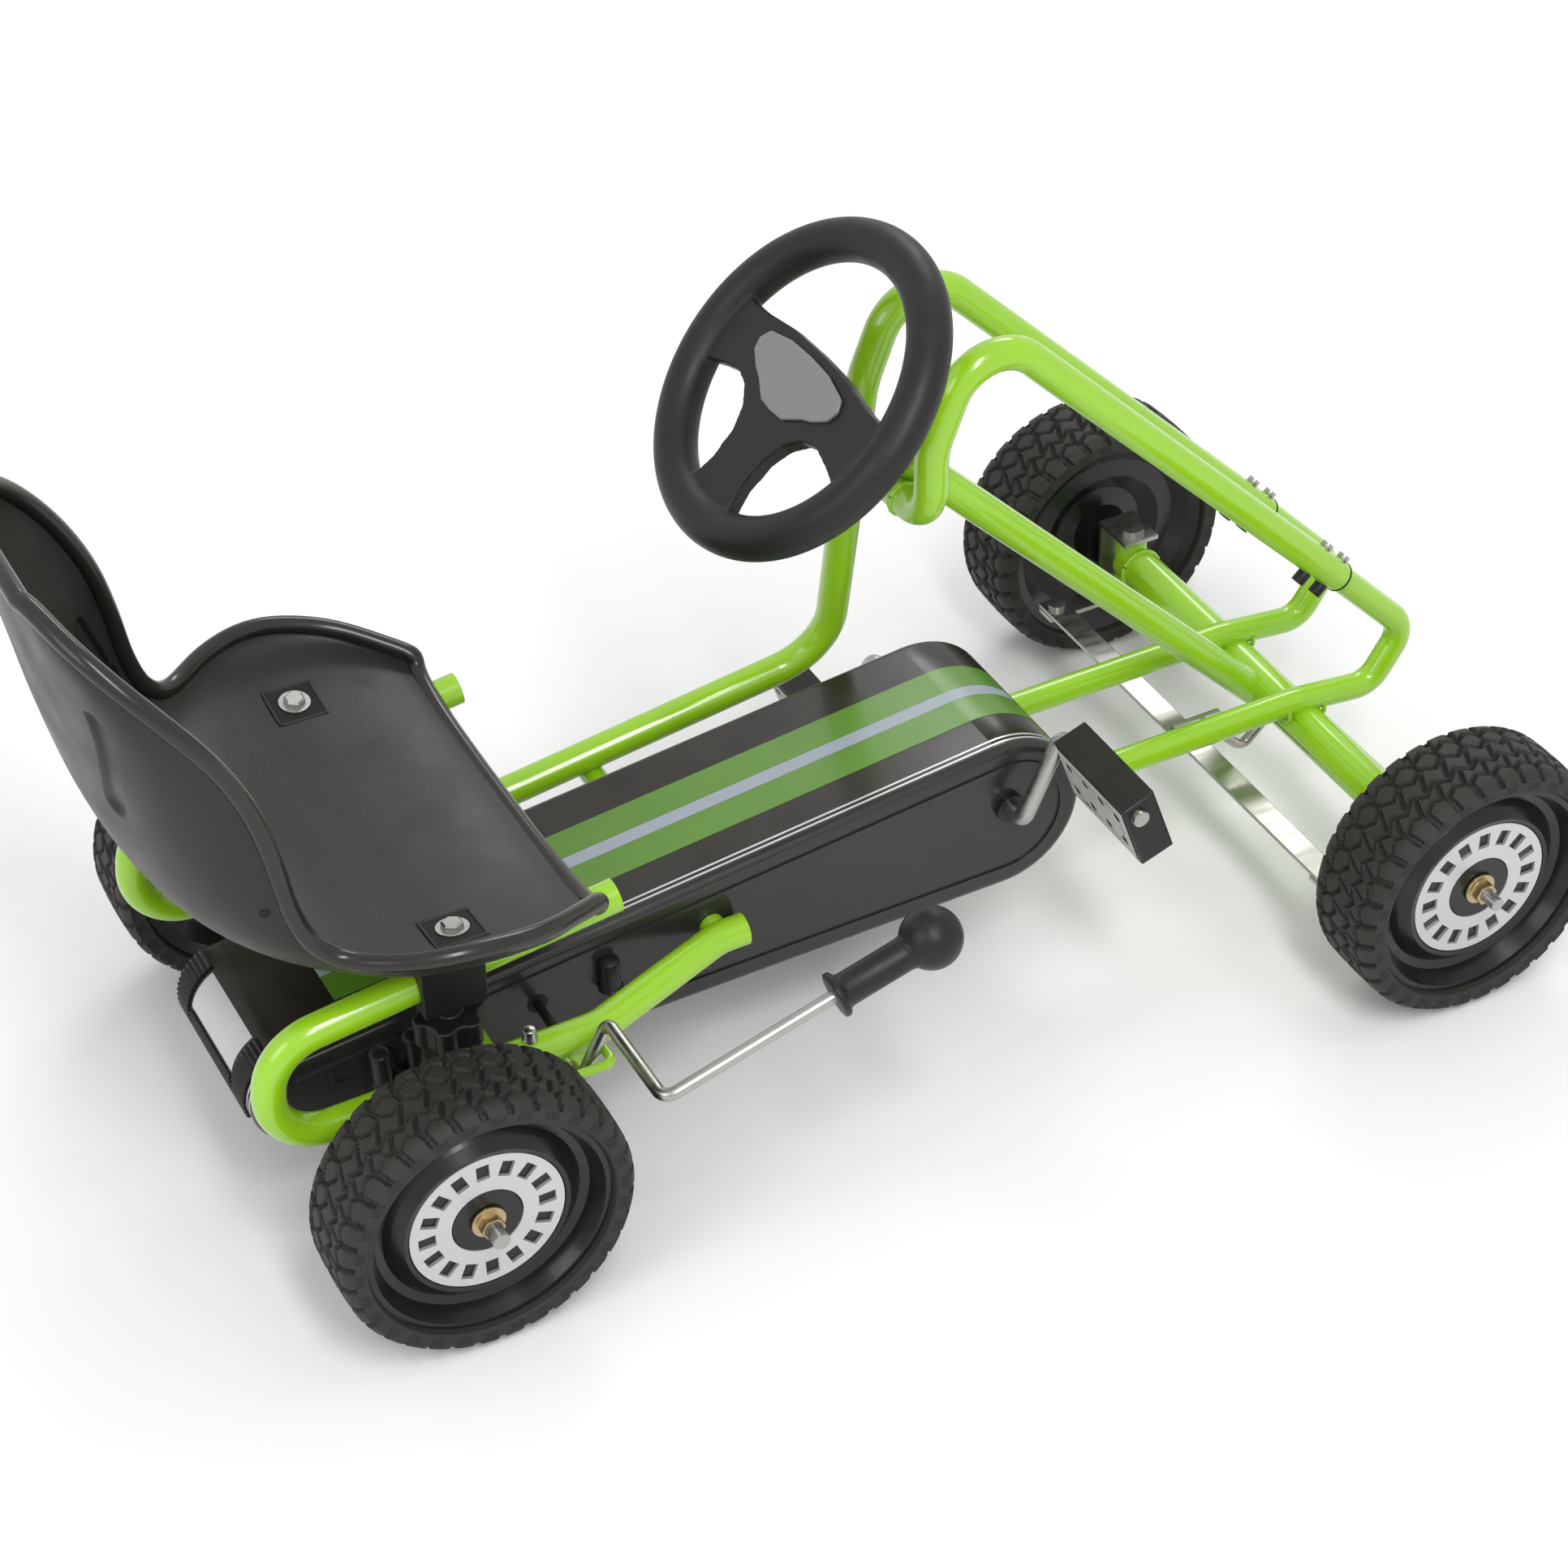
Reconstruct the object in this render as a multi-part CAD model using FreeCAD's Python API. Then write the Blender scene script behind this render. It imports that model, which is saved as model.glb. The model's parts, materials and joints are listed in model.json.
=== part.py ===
import FreeCAD, Part
import math
import os

# Pedal go kart. Units are millimetres. +X is forward, +Y the driver's left, +Z up.
# The origin is on the ground, in the middle of the kart's length and width.
# Stations along the length are first given from the rear axle and moved by REAR_AXLE_X.

V = FreeCAD.Vector

# ---------------------------------------------------------------- driving dimensions
WHEELBASE = 740.0
TYRE_RADIUS = 102.5
TYRE_WIDTH = 70.0
REAR_WHEEL_Y = 206.0
FRONT_WHEEL_Y = 247.0
SEAT_OVERHANG = 182.6
REAR_AXLE_X = (SEAT_OVERHANG - WHEELBASE - TYRE_RADIUS) / 2.0

RUNNING = 0.05          # radial clearance of a shaft in its bush or bore
GAP = 0.4               # side clearance between bodies that turn against each other

# frame tubes
RAIL_RADIUS = 11.5
LOWER_TUBE_RADIUS = 10.0
BEAM_RADIUS = 16.0
COLUMN_RADIUS = 12.0
TUBE_WALL = 1.6
RAIL_Y = 127.0
LOOP_Y = 47.5
LOWER_RAIL_Z = 129.5
SEAT_RAIL_REAR = (-34.0, 216.0)
SEAT_RAIL_FRONT = (147.0, 237.0)
REAR_BEND_RADIUS = 39.0
REAR_BEND_REACH = 72.0
TAIL_START_X = 128.0
TAIL_TURN_X = 238.0
TAIL_END_X = 258.0
TAIL_BEND = 45.0
TAIL_GAP = 2.0
LEFT_RAIL_END_X = 82.0
LEFT_RAIL_KNEE_X = 154.0
RISER_FOOT = (426.0, 185.0)
RISER_FOOT_Y = 105.0
LOOP_SHOULDER = (426.0, 443.0)
LOOP_TOP = (461.5, 528.7)
LOOP_TOP_BEND = 37.0
LOOP_SHOULDER_BEND = 60.0
RISER_BEND = 50.0
KNEE_BEND = 300.0
JOINT_POINT = (764.0, 223.5)
BUMPER_TOE = (801.0, 113.0)
BUMPER_NOSE = (829.0, 156.0)
BUMPER_BEND = 22.0
LOWER_TUBE_Z = 121.0
LOWER_TUBE_REAR = 190.0
COLUMN_CROSS_Z = 384.0
CROSS_TUBE_X = 240.0
CROSS_TUBE_Z = 130.0
REAR_CROSS_X = 60.0
REAR_CROSS_Z = 106.0
CROSS_TUBE_RADIUS = 9.0

# rear axle and bearings
AXLE_RADIUS = 6.0
BUSH_RADIUS = 11.0
BUSH_LENGTH = 16.0
BRACKET_THICKNESS = 4.0
BRACKET_REACH = 24.0
COLLAR_RADIUS = 10.0

# front axle and steering
BEAM_Z = TYRE_RADIUS
KINGPIN_Y = 187.0
KINGPIN_RADIUS = 5.0
BARREL_RADIUS = 12.5
BARREL_HALF = 24.0
KNUCKLE_PLATE = 3.5
KNUCKLE_WIDTH = 30.0
KNUCKLE_REACH = 20.0
STUB_RADIUS = 5.0
STEERING_ARM = 67.5
TIE_ROD_WIDTH = 20.0
TIE_ROD_THICKNESS = 3.0
FORK_REACH = 30.0
FORK_GAP = 12.0
FORK_PRONG = 6.0
PIN_AHEAD = 22.0
COLUMN_FOOT = (735.0, 98.0)
COLUMN_HEAD = (432.0, 407.5)
SHAFT_RADIUS = 6.0
CRANK_PIN_RADIUS = 4.0
SHAFT_TAIL = 24.0
WHEEL_RING_RADIUS = 106.0
WHEEL_GRIP_RADIUS = 15.0
WHEEL_RISE = 544.0
WHEEL_THICKNESS = 14.0
WHEEL_HUB_RADIUS = 24.0
WEB_HALF = 6.0
WHEEL_WEB = [           # (towards the dash, towards the left), from the top middle round to the driver
    (27, 0), (26, 35), (21, 70), (20, 98), (-32, 98), (-24, 74), (-19, 54), (-23, 40), (-34, 28),
    (-50, 21), (-72, 20), (-100, 27),
]
BADGE_OUTLINE = [
    (21, 0), (20, 25), (15, 48), (7, 53), (-2, 50), (-9, 39), (-13, 29), (-22, 14), (-23, 0),
]

# wheels
RIM_RADIUS = 84.7
HUB_RADIUS = 20.0
RING_OUTER = 53.8
RING_INNER = 25.0
RING_THICKNESS = 2.5
RING_OFFSET = 23.2
RING_WINDOWS = 16
HUB_HALF = 30.0
NUT_RADIUS = 8.5
NUT_FLANGE_RADIUS = 12.0
NUT_LENGTH = 10.0
STUD_LENGTH = 12.0

# chain case
CASE_HALF_WIDTH = 72.0
CASE_WALL = 3.0
CASE_BOTTOM = 69.0
CASE_SLOPE = 0.1016
CASE_TOP_AT_AXLE = 145.5
CASE_REAR_X = -62.0
CASE_FRONT_X = 473.0
CASE_EDGE_RADIUS = 7.0
COVER_DEPTH = 10.0
SEAM_WIDTH = 1.6
SEAM_PITCH = 4.5
STRIPE_OUTER = 32.0
STRIPE_INNER = 6.0
STRIPE_REAR_X = -20.0
FILM = 0.3

# drive
CRANK_X = 475.0
CRANK_Z = 142.0
CRANK_RADIUS = 6.0
CRANK_ARM = 70.0
CRANK_ARM_RIGHT_Y = 92.0
CRANK_ARM_GAP = 4.0
CRANK_BEND = 7.0
CHAIN_PITCH = 12.7
CHAINRING_TEETH = 18
SPROCKET_TEETH = 12
CHAIN_Y = 14.0
SPROCKET_THICKNESS = 3.0
PLATE_GAP = 4.8
PLATE_THICKNESS = 1.2
PLATE_HEIGHT = 9.0
ROLLER_RADIUS = 3.9
PEDAL_WIDTH = 92.0
PEDAL_THICKNESS = 26.0
PEDAL_LENGTH = 56.0
CRANK_TILT = 25.0
PEDAL_LEAN = 19.0
PEDAL_AXLE_DROP = 9.5
PEDAL_AXLE_INSET = 9.0

# seat
SEAT_STATIONS = [       # middle (x, z), rim (x, y, z), crown, lean of the shell's underside
    ((125, 239), (125, 148, 258), 2.4, 0), ((112, 248), (104, 163, 267), 2.5, 4),
    ((84, 254), (72, 182, 280), 2.7, 0), ((40, 257), (28, 190, 291), 2.8, 0),
    ((-5, 258), (-12, 180, 290), 2.8, 2), ((-45, 260), (-46, 156, 288), 2.6, 8),
    ((-82, 268), (-66, 146, 305), 2.4, 22), ((-112, 286), (-76, 144, 335), 2.3, 42),
    ((-134, 314), (-81, 143, 370), 2.2, 56), ((-149, 352), (-90, 141, 411), 2.1, 68),
    ((-160, 402), (-106, 141, 449), 2.1, 76), ((-167, 448), (-127, 137, 482), 2.0, 79),
    ((-173, 490), (-148, 122, 508), 2.0, 80), ((-177, 520), (-166, 98, 529), 2.0, 80),
    ((-179, 543), (-179, 55, 543), 2.0, 80),
]
SEAT_SHELL = 9.0
SEAT_LOFT_DEGREE = 2
SEAT_CLEARANCE = 1.5
SADDLE_X = 25.0
SADDLE_LENGTH = 44.0
SADDLE_WIDTH = 36.0
SADDLE_FIT = 0.3
SADDLE_FLOOR = 7.0
SADDLE_TOP = 256.0
KNOB_RADIUS = 25.0
KNOB_THICKNESS = 20.0
KNOB_LOBES = 6
KNOB_STEM = 14.0
SCREW_RADIUS = 4.0

# brake lever
LEVER_RADIUS = 4.5
LEVER_PIVOT = (104.0, 110.0)
LEVER_KNEE = (126.0, 152.0)
LEVER_PIVOT_Y = 148.0
LEVER_OUTER_Y = 232.0
GRIP_START = (250.0, 186.0)
GRIP_LENGTH = 62.0
GRIP_RADIUS = 12.5
BALL_RADIUS = 18.0


# ---------------------------------------------------------------- helpers
def at(x, y, z):
    """A point whose x is given from the rear axle."""
    return V(x + REAR_AXLE_X, y, z)


def unit(vector):
    return V(vector) / vector.Length


def save(name, *shapes):
    """Write one node, which may hold several separate solids."""
    solids = [solid for shape in shapes for solid in shape.Solids]
    shape = solids[0] if len(solids) == 1 else Part.makeCompound(solids)
    shape.exportStep("parts/" + name + ".step")


def path_wire(points, radii):
    """Straight runs joined by tangent arcs; one radius per inner point."""
    edges = []
    start = points[0]
    for i in range(1, len(points) - 1):
        corner = points[i]
        back = unit(points[i - 1] - corner)
        ahead = unit(points[i + 1] - corner)
        half = back.getAngle(ahead) / 2.0
        reach = radii[i - 1] / math.tan(half)
        first = corner + back * reach
        last = corner + ahead * reach
        bisector = unit(back + ahead)
        centre = corner + bisector * (radii[i - 1] / math.sin(half))
        middle = centre - bisector * radii[i - 1]
        if (first - start).Length > 1e-4:
            edges.append(Part.LineSegment(start, first).toShape())
        edges.append(Part.Arc(first, middle, last).toShape())
        start = last
    edges.append(Part.LineSegment(start, points[-1]).toShape())
    return Part.Wire(edges)


def sweep(points, radii, radius):
    """A solid round bar along a path."""
    spine = path_wire(points, radii)
    direction = points[1] - points[0]
    circle = Part.Wire(Part.makeCircle(radius, points[0], direction))
    return Part.Solid(spine.makePipeShell([circle], True, True).Shells[0])


def tube(points, radii, radius, wall=TUBE_WALL):
    return sweep(points, radii, radius).cut(sweep(points, radii, radius - wall))


def rod(start, end, radius):
    return Part.makeCylinder(radius, (end - start).Length, start, end - start)


def ring_y(x, y0, y1, z, outer, inner):
    """A ring around an axis along Y, between y0 and y1."""
    low = min(y0, y1)
    high = max(y0, y1)
    body = rod(at(x, low, z), at(x, high, z), outer)
    return body.cut(rod(at(x, low - 1, z), at(x, high + 1, z), inner))


def block(centre, size):
    corner = centre - V(size[0] / 2.0, size[1] / 2.0, size[2] / 2.0)
    return Part.makeBox(size[0], size[1], size[2], corner)


def revolve_y(profile, centre):
    """Revolve (radius, y) points about an axis along Y through centre."""
    points = [centre + V(radius, y, 0) for radius, y in profile]
    face = Part.Face(Part.makePolygon(points + points[:1]))
    return face.revolve(centre, V(0, 1, 0), 360)


def hex_prism(base, axis, side, radius, length):
    other = axis.cross(side)
    corners = []
    for i in range(6):
        angle = math.radians(60 * i)
        corners.append(base + side * (radius * math.cos(angle)) + other * (radius * math.sin(angle)))
    face = Part.Face(Part.makePolygon(corners + corners[:1]))
    return face.extrude(axis * length)


def mirror_y(shape):
    return shape.mirror(V(0, 0, 0), V(0, 1, 0))


# ---------------------------------------------------------------- frame
def rail_z(x):
    """Height of the seat rail's centre line."""
    rise = (SEAT_RAIL_FRONT[1] - SEAT_RAIL_REAR[1]) / (SEAT_RAIL_FRONT[0] - SEAT_RAIL_REAR[0])
    return SEAT_RAIL_REAR[1] + rise * (x - SEAT_RAIL_REAR[0])


def rear_loop_points(side):
    """Seat rail, rear bend and lower rail; the right rail has a tail that turns in to the case."""
    rear_x = SEAT_RAIL_REAR[0] - REAR_BEND_REACH
    y = side * RAIL_Y
    points = [
        at(SEAT_RAIL_FRONT[0], y, SEAT_RAIL_FRONT[1]),
        at(rear_x + 10, y, rail_z(rear_x + 10)),
        at(rear_x, y, LOWER_RAIL_Z),
    ]
    if side > 0:
        return points + [at(LEFT_RAIL_END_X, y, LOWER_RAIL_Z)]
    tail_y = -(CASE_HALF_WIDTH + RAIL_RADIUS + TAIL_GAP)
    return points + [
        at(TAIL_START_X, y, LOWER_RAIL_Z),
        at(TAIL_TURN_X, tail_y, LOWER_RAIL_Z),
        at(TAIL_END_X, tail_y, LOWER_RAIL_Z),
    ]


def rear_loop_bends(side):
    bends = [REAR_BEND_RADIUS, REAR_BEND_RADIUS]
    return bends if side > 0 else bends + [TAIL_BEND, TAIL_BEND]


def rear_loop_bar(side):
    return sweep(rear_loop_points(side), rear_loop_bends(side), RAIL_RADIUS)


def make_rear_loops():
    """Bent tubes that carry the seat and the rear axle; the seat end is closed by a welded disc."""
    for side, name in ((1, "left"), (-1, "right")):
        loop = tube(rear_loop_points(side), rear_loop_bends(side), RAIL_RADIUS)
        front = rear_loop_points(side)[0]
        back = unit(rear_loop_points(side)[1] - front)
        cap = rod(front, front + back * 3.0, RAIL_RADIUS - TUBE_WALL / 2.0)
        save("rear_loop_" + name, loop.fuse(cap))


def left_main_points():
    return [
        at(LEFT_RAIL_END_X, RAIL_Y, LOWER_RAIL_Z),
        at(LEFT_RAIL_KNEE_X, RAIL_Y, LOWER_RAIL_Z),
        at(RISER_FOOT[0], RISER_FOOT_Y, RISER_FOOT[1]),
        at(LOOP_SHOULDER[0], LOOP_Y, LOOP_SHOULDER[1]),
        at(LOOP_TOP[0], LOOP_Y, LOOP_TOP[1]),
        at(JOINT_POINT[0], LOOP_Y, JOINT_POINT[1]),
    ]


def left_main_bends():
    return [KNEE_BEND, RISER_BEND, LOOP_SHOULDER_BEND, LOOP_TOP_BEND]


def left_main_bar():
    return sweep(left_main_points(), left_main_bends(), RAIL_RADIUS)


def make_left_main_tube():
    """Main tube: on from the left lower rail, up the riser and down to the bumper."""
    save("main_tube_left", tube(left_main_points(), left_main_bends(), RAIL_RADIUS))


def make_right_main_tube():
    """The right tube turns inward below its shoulder and meets the left tube."""
    shoulder = at(LOOP_SHOULDER[0], -LOOP_Y, LOOP_SHOULDER[1])
    turn = at(LOOP_SHOULDER[0] - 1.0, -LOOP_Y, COLUMN_CROSS_Z)
    points = [
        at(JOINT_POINT[0], -LOOP_Y, JOINT_POINT[1]),
        at(LOOP_TOP[0], -LOOP_Y, LOOP_TOP[1]),
        shoulder,
        turn,
        V(turn.x, LOOP_Y + 10.0, COLUMN_CROSS_Z),
    ]
    bends = [LOOP_TOP_BEND, LOOP_SHOULDER_BEND, 30.0]
    save("main_tube_right", tube(points, bends, RAIL_RADIUS).cut(left_main_bar()))


def cross_bar():
    x = LOOP_SHOULDER[0] - 1.0
    return rod(at(x, -20, COLUMN_CROSS_Z), at(x, 20, COLUMN_CROSS_Z), RAIL_RADIUS)


def beam_bar():
    return rod(at(WHEELBASE, -KINGPIN_Y, BEAM_Z), at(WHEELBASE, KINGPIN_Y, BEAM_Z), BEAM_RADIUS)


def make_bumper_tubes():
    """Lower tube and front bend of each side, from inside the chain case to the joint."""
    points = [
        at(LOWER_TUBE_REAR, LOOP_Y, LOWER_TUBE_Z),
        at(WHEELBASE - 5, LOOP_Y, LOWER_TUBE_Z),
        at(BUMPER_TOE[0], LOOP_Y, BUMPER_TOE[1]),
        at(BUMPER_NOSE[0], LOOP_Y, BUMPER_NOSE[1]),
        at(JOINT_POINT[0], LOOP_Y, JOINT_POINT[1]),
    ]
    left = tube(points, [120, BUMPER_BEND, BUMPER_BEND], LOWER_TUBE_RADIUS)
    left = left.cut(beam_bar()).cut(left_main_bar())
    save("bumper_tube_left", left)
    save("bumper_tube_right", mirror_y(left))


def make_cross_tubes():
    """Front tube through the case, coped to the tubes it meets; rear tube between the brackets."""
    right = -(CASE_HALF_WIDTH + RAIL_RADIUS)
    front_start = at(CROSS_TUBE_X, right, CROSS_TUBE_Z)
    front = rod(front_start, at(CROSS_TUBE_X, RAIL_Y, CROSS_TUBE_Z), CROSS_TUBE_RADIUS)
    for y in (-LOOP_Y, LOOP_Y):
        lower = rod(at(LOWER_TUBE_REAR, y, LOWER_TUBE_Z), at(WHEELBASE, y, LOWER_TUBE_Z), LOWER_TUBE_RADIUS)
        front = front.cut(lower)
    front = front.cut(rear_loop_bar(-1)).cut(left_main_bar())
    plate = RAIL_Y - BRACKET_THICKNESS / 2.0
    rear_start = at(REAR_CROSS_X, -plate, REAR_CROSS_Z)
    rear = rod(rear_start, at(REAR_CROSS_X, plate, REAR_CROSS_Z), CROSS_TUBE_RADIUS)
    save("frame_cross_tubes", front, rear)


def joint_bolt(side, along):
    """Bolt square to the sloping tube, and the cap on its nut end."""
    slope = unit(at(JOINT_POINT[0], 0, JOINT_POINT[1]) - at(LOOP_TOP[0], 0, LOOP_TOP[1]))
    across = V(-slope.z, 0, slope.x)
    if across.z < 0:
        across = across * -1
    middle = at(JOINT_POINT[0], side * LOOP_Y, JOINT_POINT[1]) + slope * along
    return middle, across


def make_joint_bolts():
    bolts = []
    caps = []
    for side in (-1, 1):
        main_bar = outward(left_main_bar(), side)
        for along in (-30.0, -8.0):
            middle, up = joint_bolt(side, along)
            head = rod(middle + up * (RAIL_RADIUS - 1.5), middle + up * (RAIL_RADIUS + 4.0), 4.6)
            cap = rod(middle - up * (RAIL_RADIUS + 9.0), middle - up * (RAIL_RADIUS - 1.5), 5.0)
            bolts.append(head.cut(main_bar))
            caps.append(cap.cut(main_bar))
    save("joint_bolts", *bolts)
    save("joint_bolt_caps", *caps)


def make_front_beam():
    """Round beam with an upright kingpin barrel welded through each end."""
    beam = beam_bar()
    barrels = []
    for y in (-KINGPIN_Y, KINGPIN_Y):
        low = at(WHEELBASE, y, BEAM_Z - BARREL_HALF)
        high = at(WHEELBASE, y, BEAM_Z + BARREL_HALF)
        barrels.append(rod(low, high, BARREL_RADIUS))
    beam = beam.fuse(barrels)
    for y in (-KINGPIN_Y, KINGPIN_Y):
        low = at(WHEELBASE, y, BEAM_Z - BARREL_HALF - 1)
        high = at(WHEELBASE, y, BEAM_Z + BARREL_HALF + 1)
        beam = beam.cut(rod(low, high, KINGPIN_RADIUS + RUNNING))
    save("front_axle_beam", beam.cut(shaft_hole()))


# ---------------------------------------------------------------- steering
def column_axis():
    """Unit vector up the column, towards the driver."""
    return unit(at(COLUMN_HEAD[0], 0, COLUMN_HEAD[1]) - at(COLUMN_FOOT[0], 0, COLUMN_FOOT[1]))


def column_foot():
    return at(COLUMN_FOOT[0], 0, COLUMN_FOOT[1])


def shaft_hole():
    axis = column_axis()
    return rod(column_foot() - axis * 60, column_foot() + axis * 60, SHAFT_RADIUS + RUNNING)


def make_column_tube():
    head = at(COLUMN_HEAD[0], 0, COLUMN_HEAD[1])
    outer = rod(column_foot(), head, COLUMN_RADIUS)
    bore = rod(column_foot() - column_axis(), head + column_axis(), SHAFT_RADIUS + RUNNING)
    save("steering_column_tube", outer.cut(bore).cut(beam_bar()).cut(cross_bar()))


def make_steering_shaft():
    """Bent rod: straight shaft, cranked foot and the pin that pushes the tie rod."""
    axis = column_axis()
    down = axis * -1
    arm = V(-axis.z, 0, axis.x)
    tail = column_foot() + down * SHAFT_TAIL
    pin_x = WHEELBASE - STEERING_ARM + PIN_AHEAD
    pin = at(pin_x, 0, tie_rod_z())
    reach = (pin - column_foot()).dot(arm)
    corner = tail + arm * reach
    tip = pin + axis * 10.0
    straight = rod(tail, column_foot() + axis * (WHEEL_RISE - WHEEL_THICKNESS + 4.0), SHAFT_RADIUS)
    route = [tail - down * 2.0, tail + down * 3.0, corner + down * 3.0, tip]
    crank = sweep(route, [4.5, 8.0], CRANK_PIN_RADIUS)
    save("steering_shaft", straight.fuse(crank))


def tie_rod_z():
    """Middle height of the tie rod, which lies on the steering arms."""
    arm_top = BEAM_Z - BARREL_HALF - GAP
    return arm_top + GAP + TIE_ROD_THICKNESS / 2.0


def wheel_plate(half_outline, low, high):
    """A plate of the wheel, mirror-symmetric about the dash-up direction, between two heights."""
    left = [V(x, y, low) for x, y in half_outline]
    right = [V(x, -y, low) for x, y in reversed(half_outline) if y > 0]
    corners = left + right
    return Part.Face(Part.makePolygon(corners + corners[:1])).extrude(V(0, 0, high - low))


def make_steering_wheel():
    """Moulded wheel: ring, one web with spokes to the left, the right and the driver, and hub boss."""
    ring = Part.makeTorus(WHEEL_RING_RADIUS, WHEEL_GRIP_RADIUS)
    hub = Part.makeCylinder(WHEEL_HUB_RADIUS, WHEEL_THICKNESS, V(0, 0, -WHEEL_THICKNESS))
    web = wheel_plate(WHEEL_WEB, -WEB_HALF, WEB_HALF)
    body = ring.fuse([hub, web])
    place_on_column(body, WHEEL_RISE)
    badge = wheel_plate(BADGE_OUTLINE, WEB_HALF + 0.1, WEB_HALF + 2.6)
    place_on_column(badge, WHEEL_RISE)
    save("steering_wheel", body.cut(shaft_core()))
    save("steering_wheel_badge", badge)


def shaft_core():
    axis = column_axis()
    foot = column_foot()
    return rod(foot, foot + axis * (WHEEL_RISE - WHEEL_THICKNESS + 4.0), SHAFT_RADIUS)


def place_on_column(shape, rise):
    """Move a shape made around Z so that its axis lies on the column; local +X points up the dash."""
    axis = column_axis()
    tilt = -math.degrees(math.atan2(-axis.x, axis.z))
    shape.rotate(V(0, 0, 0), V(0, 1, 0), tilt)
    shape.translate(column_foot() + axis * rise)


def make_knuckle(side):
    """U bracket around the kingpin barrel, with the steering arm; the stub axle is riveted in."""
    y = side * KINGPIN_Y
    low = BEAM_Z - BARREL_HALF - GAP - KNUCKLE_PLATE
    high = BEAM_Z + BARREL_HALF + GAP
    inner = 15.0
    outer = KNUCKLE_REACH
    width = KNUCKLE_WIDTH
    middle_y = y + side * (outer - inner + KNUCKLE_PLATE) / 2.0
    depth = inner + outer + KNUCKLE_PLATE
    plates = []
    for z in (low, high):
        plates.append(block(at(WHEELBASE, middle_y, z + KNUCKLE_PLATE / 2.0), (width, depth, KNUCKLE_PLATE)))
    web_y = y + side * (outer + KNUCKLE_PLATE / 2.0)
    web = block(at(WHEELBASE, web_y, BEAM_Z), (width, KNUCKLE_PLATE, high - low))
    arm_length = STEERING_ARM + 10.0
    arm_middle = at(WHEELBASE - arm_length / 2.0, y, low + KNUCKLE_PLATE / 2.0)
    arm = block(arm_middle, (arm_length, 18, KNUCKLE_PLATE))
    body = web.fuse(plates + [arm])
    kingpin_low = at(WHEELBASE, y, low - 4)
    kingpin_high = at(WHEELBASE, y, high + KNUCKLE_PLATE + 1)
    kingpin = rod(kingpin_low, kingpin_high, KINGPIN_RADIUS)
    head_low = at(WHEELBASE, y, high + KNUCKLE_PLATE)
    kingpin = kingpin.fuse(rod(head_low, head_low + V(0, 0, 4), 9.5))
    hole_x = WHEELBASE - STEERING_ARM
    pivot = rod(at(hole_x, y, low - 1), at(hole_x, y, low + KNUCKLE_PLATE + 1), SCREW_RADIUS + RUNNING)
    stub_end = side * (FRONT_WHEEL_Y + RING_OFFSET + NUT_LENGTH + STUD_LENGTH)
    stub = rod(at(WHEELBASE, web_y, BEAM_Z), at(WHEELBASE, stub_end, BEAM_Z), STUB_RADIUS)
    name = "left" if side > 0 else "right"
    save("steering_knuckle_" + name, body.cut(kingpin).cut(pivot).fuse(stub))
    save("kingpin_" + name, kingpin)
    save("front_nut_" + name, wheel_nut(WHEELBASE, side, FRONT_WHEEL_Y, STUB_RADIUS))


def make_tie_rod():
    """Flat bar between the arms, its two pivot bolts and the fork that the crank pin works in."""
    x = WHEELBASE - STEERING_ARM
    z = tie_rod_z()
    bar = block(at(x, 0, z), (TIE_ROD_WIDTH, 2 * KINGPIN_Y + TIE_ROD_WIDTH, TIE_ROD_THICKNESS))
    half = FORK_GAP / 2.0
    fork = block(
        at(x + FORK_REACH / 2.0, 0, z + TIE_ROD_THICKNESS),
        (FORK_REACH + 12.0, FORK_GAP + 2 * FORK_PRONG, TIE_ROD_THICKNESS),
    )
    slot_start = x + TIE_ROD_WIDTH / 2.0 - 2.0
    slot = block(at(slot_start + 30.0, 0, z + TIE_ROD_THICKNESS), (60.0, FORK_GAP, TIE_ROD_THICKNESS * 2))
    bolts = []
    for y in (-KINGPIN_Y, KINGPIN_Y):
        low = at(x, y, z - TIE_ROD_THICKNESS / 2.0 - GAP - KNUCKLE_PLATE - 5.0)
        high = at(x, y, z + TIE_ROD_THICKNESS / 2.0)
        bolts.append(rod(low, high, SCREW_RADIUS).fuse(rod(high, high + V(0, 0, 3.5), 7.0)))
    for bolt in bolts:
        bar = bar.cut(bolt)
    save("tie_rod", bar.fuse(fork.cut(slot)))
    save("tie_rod_bolts", *bolts)


# ---------------------------------------------------------------- wheels
def wheel_profile_tyre():
    half = TYRE_WIDTH / 2.0
    return [
        (RIM_RADIUS, -half + 5), (RIM_RADIUS + 8, -half + 1),
        (TYRE_RADIUS - 6, -half), (TYRE_RADIUS - 1.5, -half + 5),
        (TYRE_RADIUS, -half + 12), (TYRE_RADIUS, half - 12),
        (TYRE_RADIUS - 1.5, half - 5), (TYRE_RADIUS - 6, half),
        (RIM_RADIUS + 8, half - 1), (RIM_RADIUS, half - 5),
    ]


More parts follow.
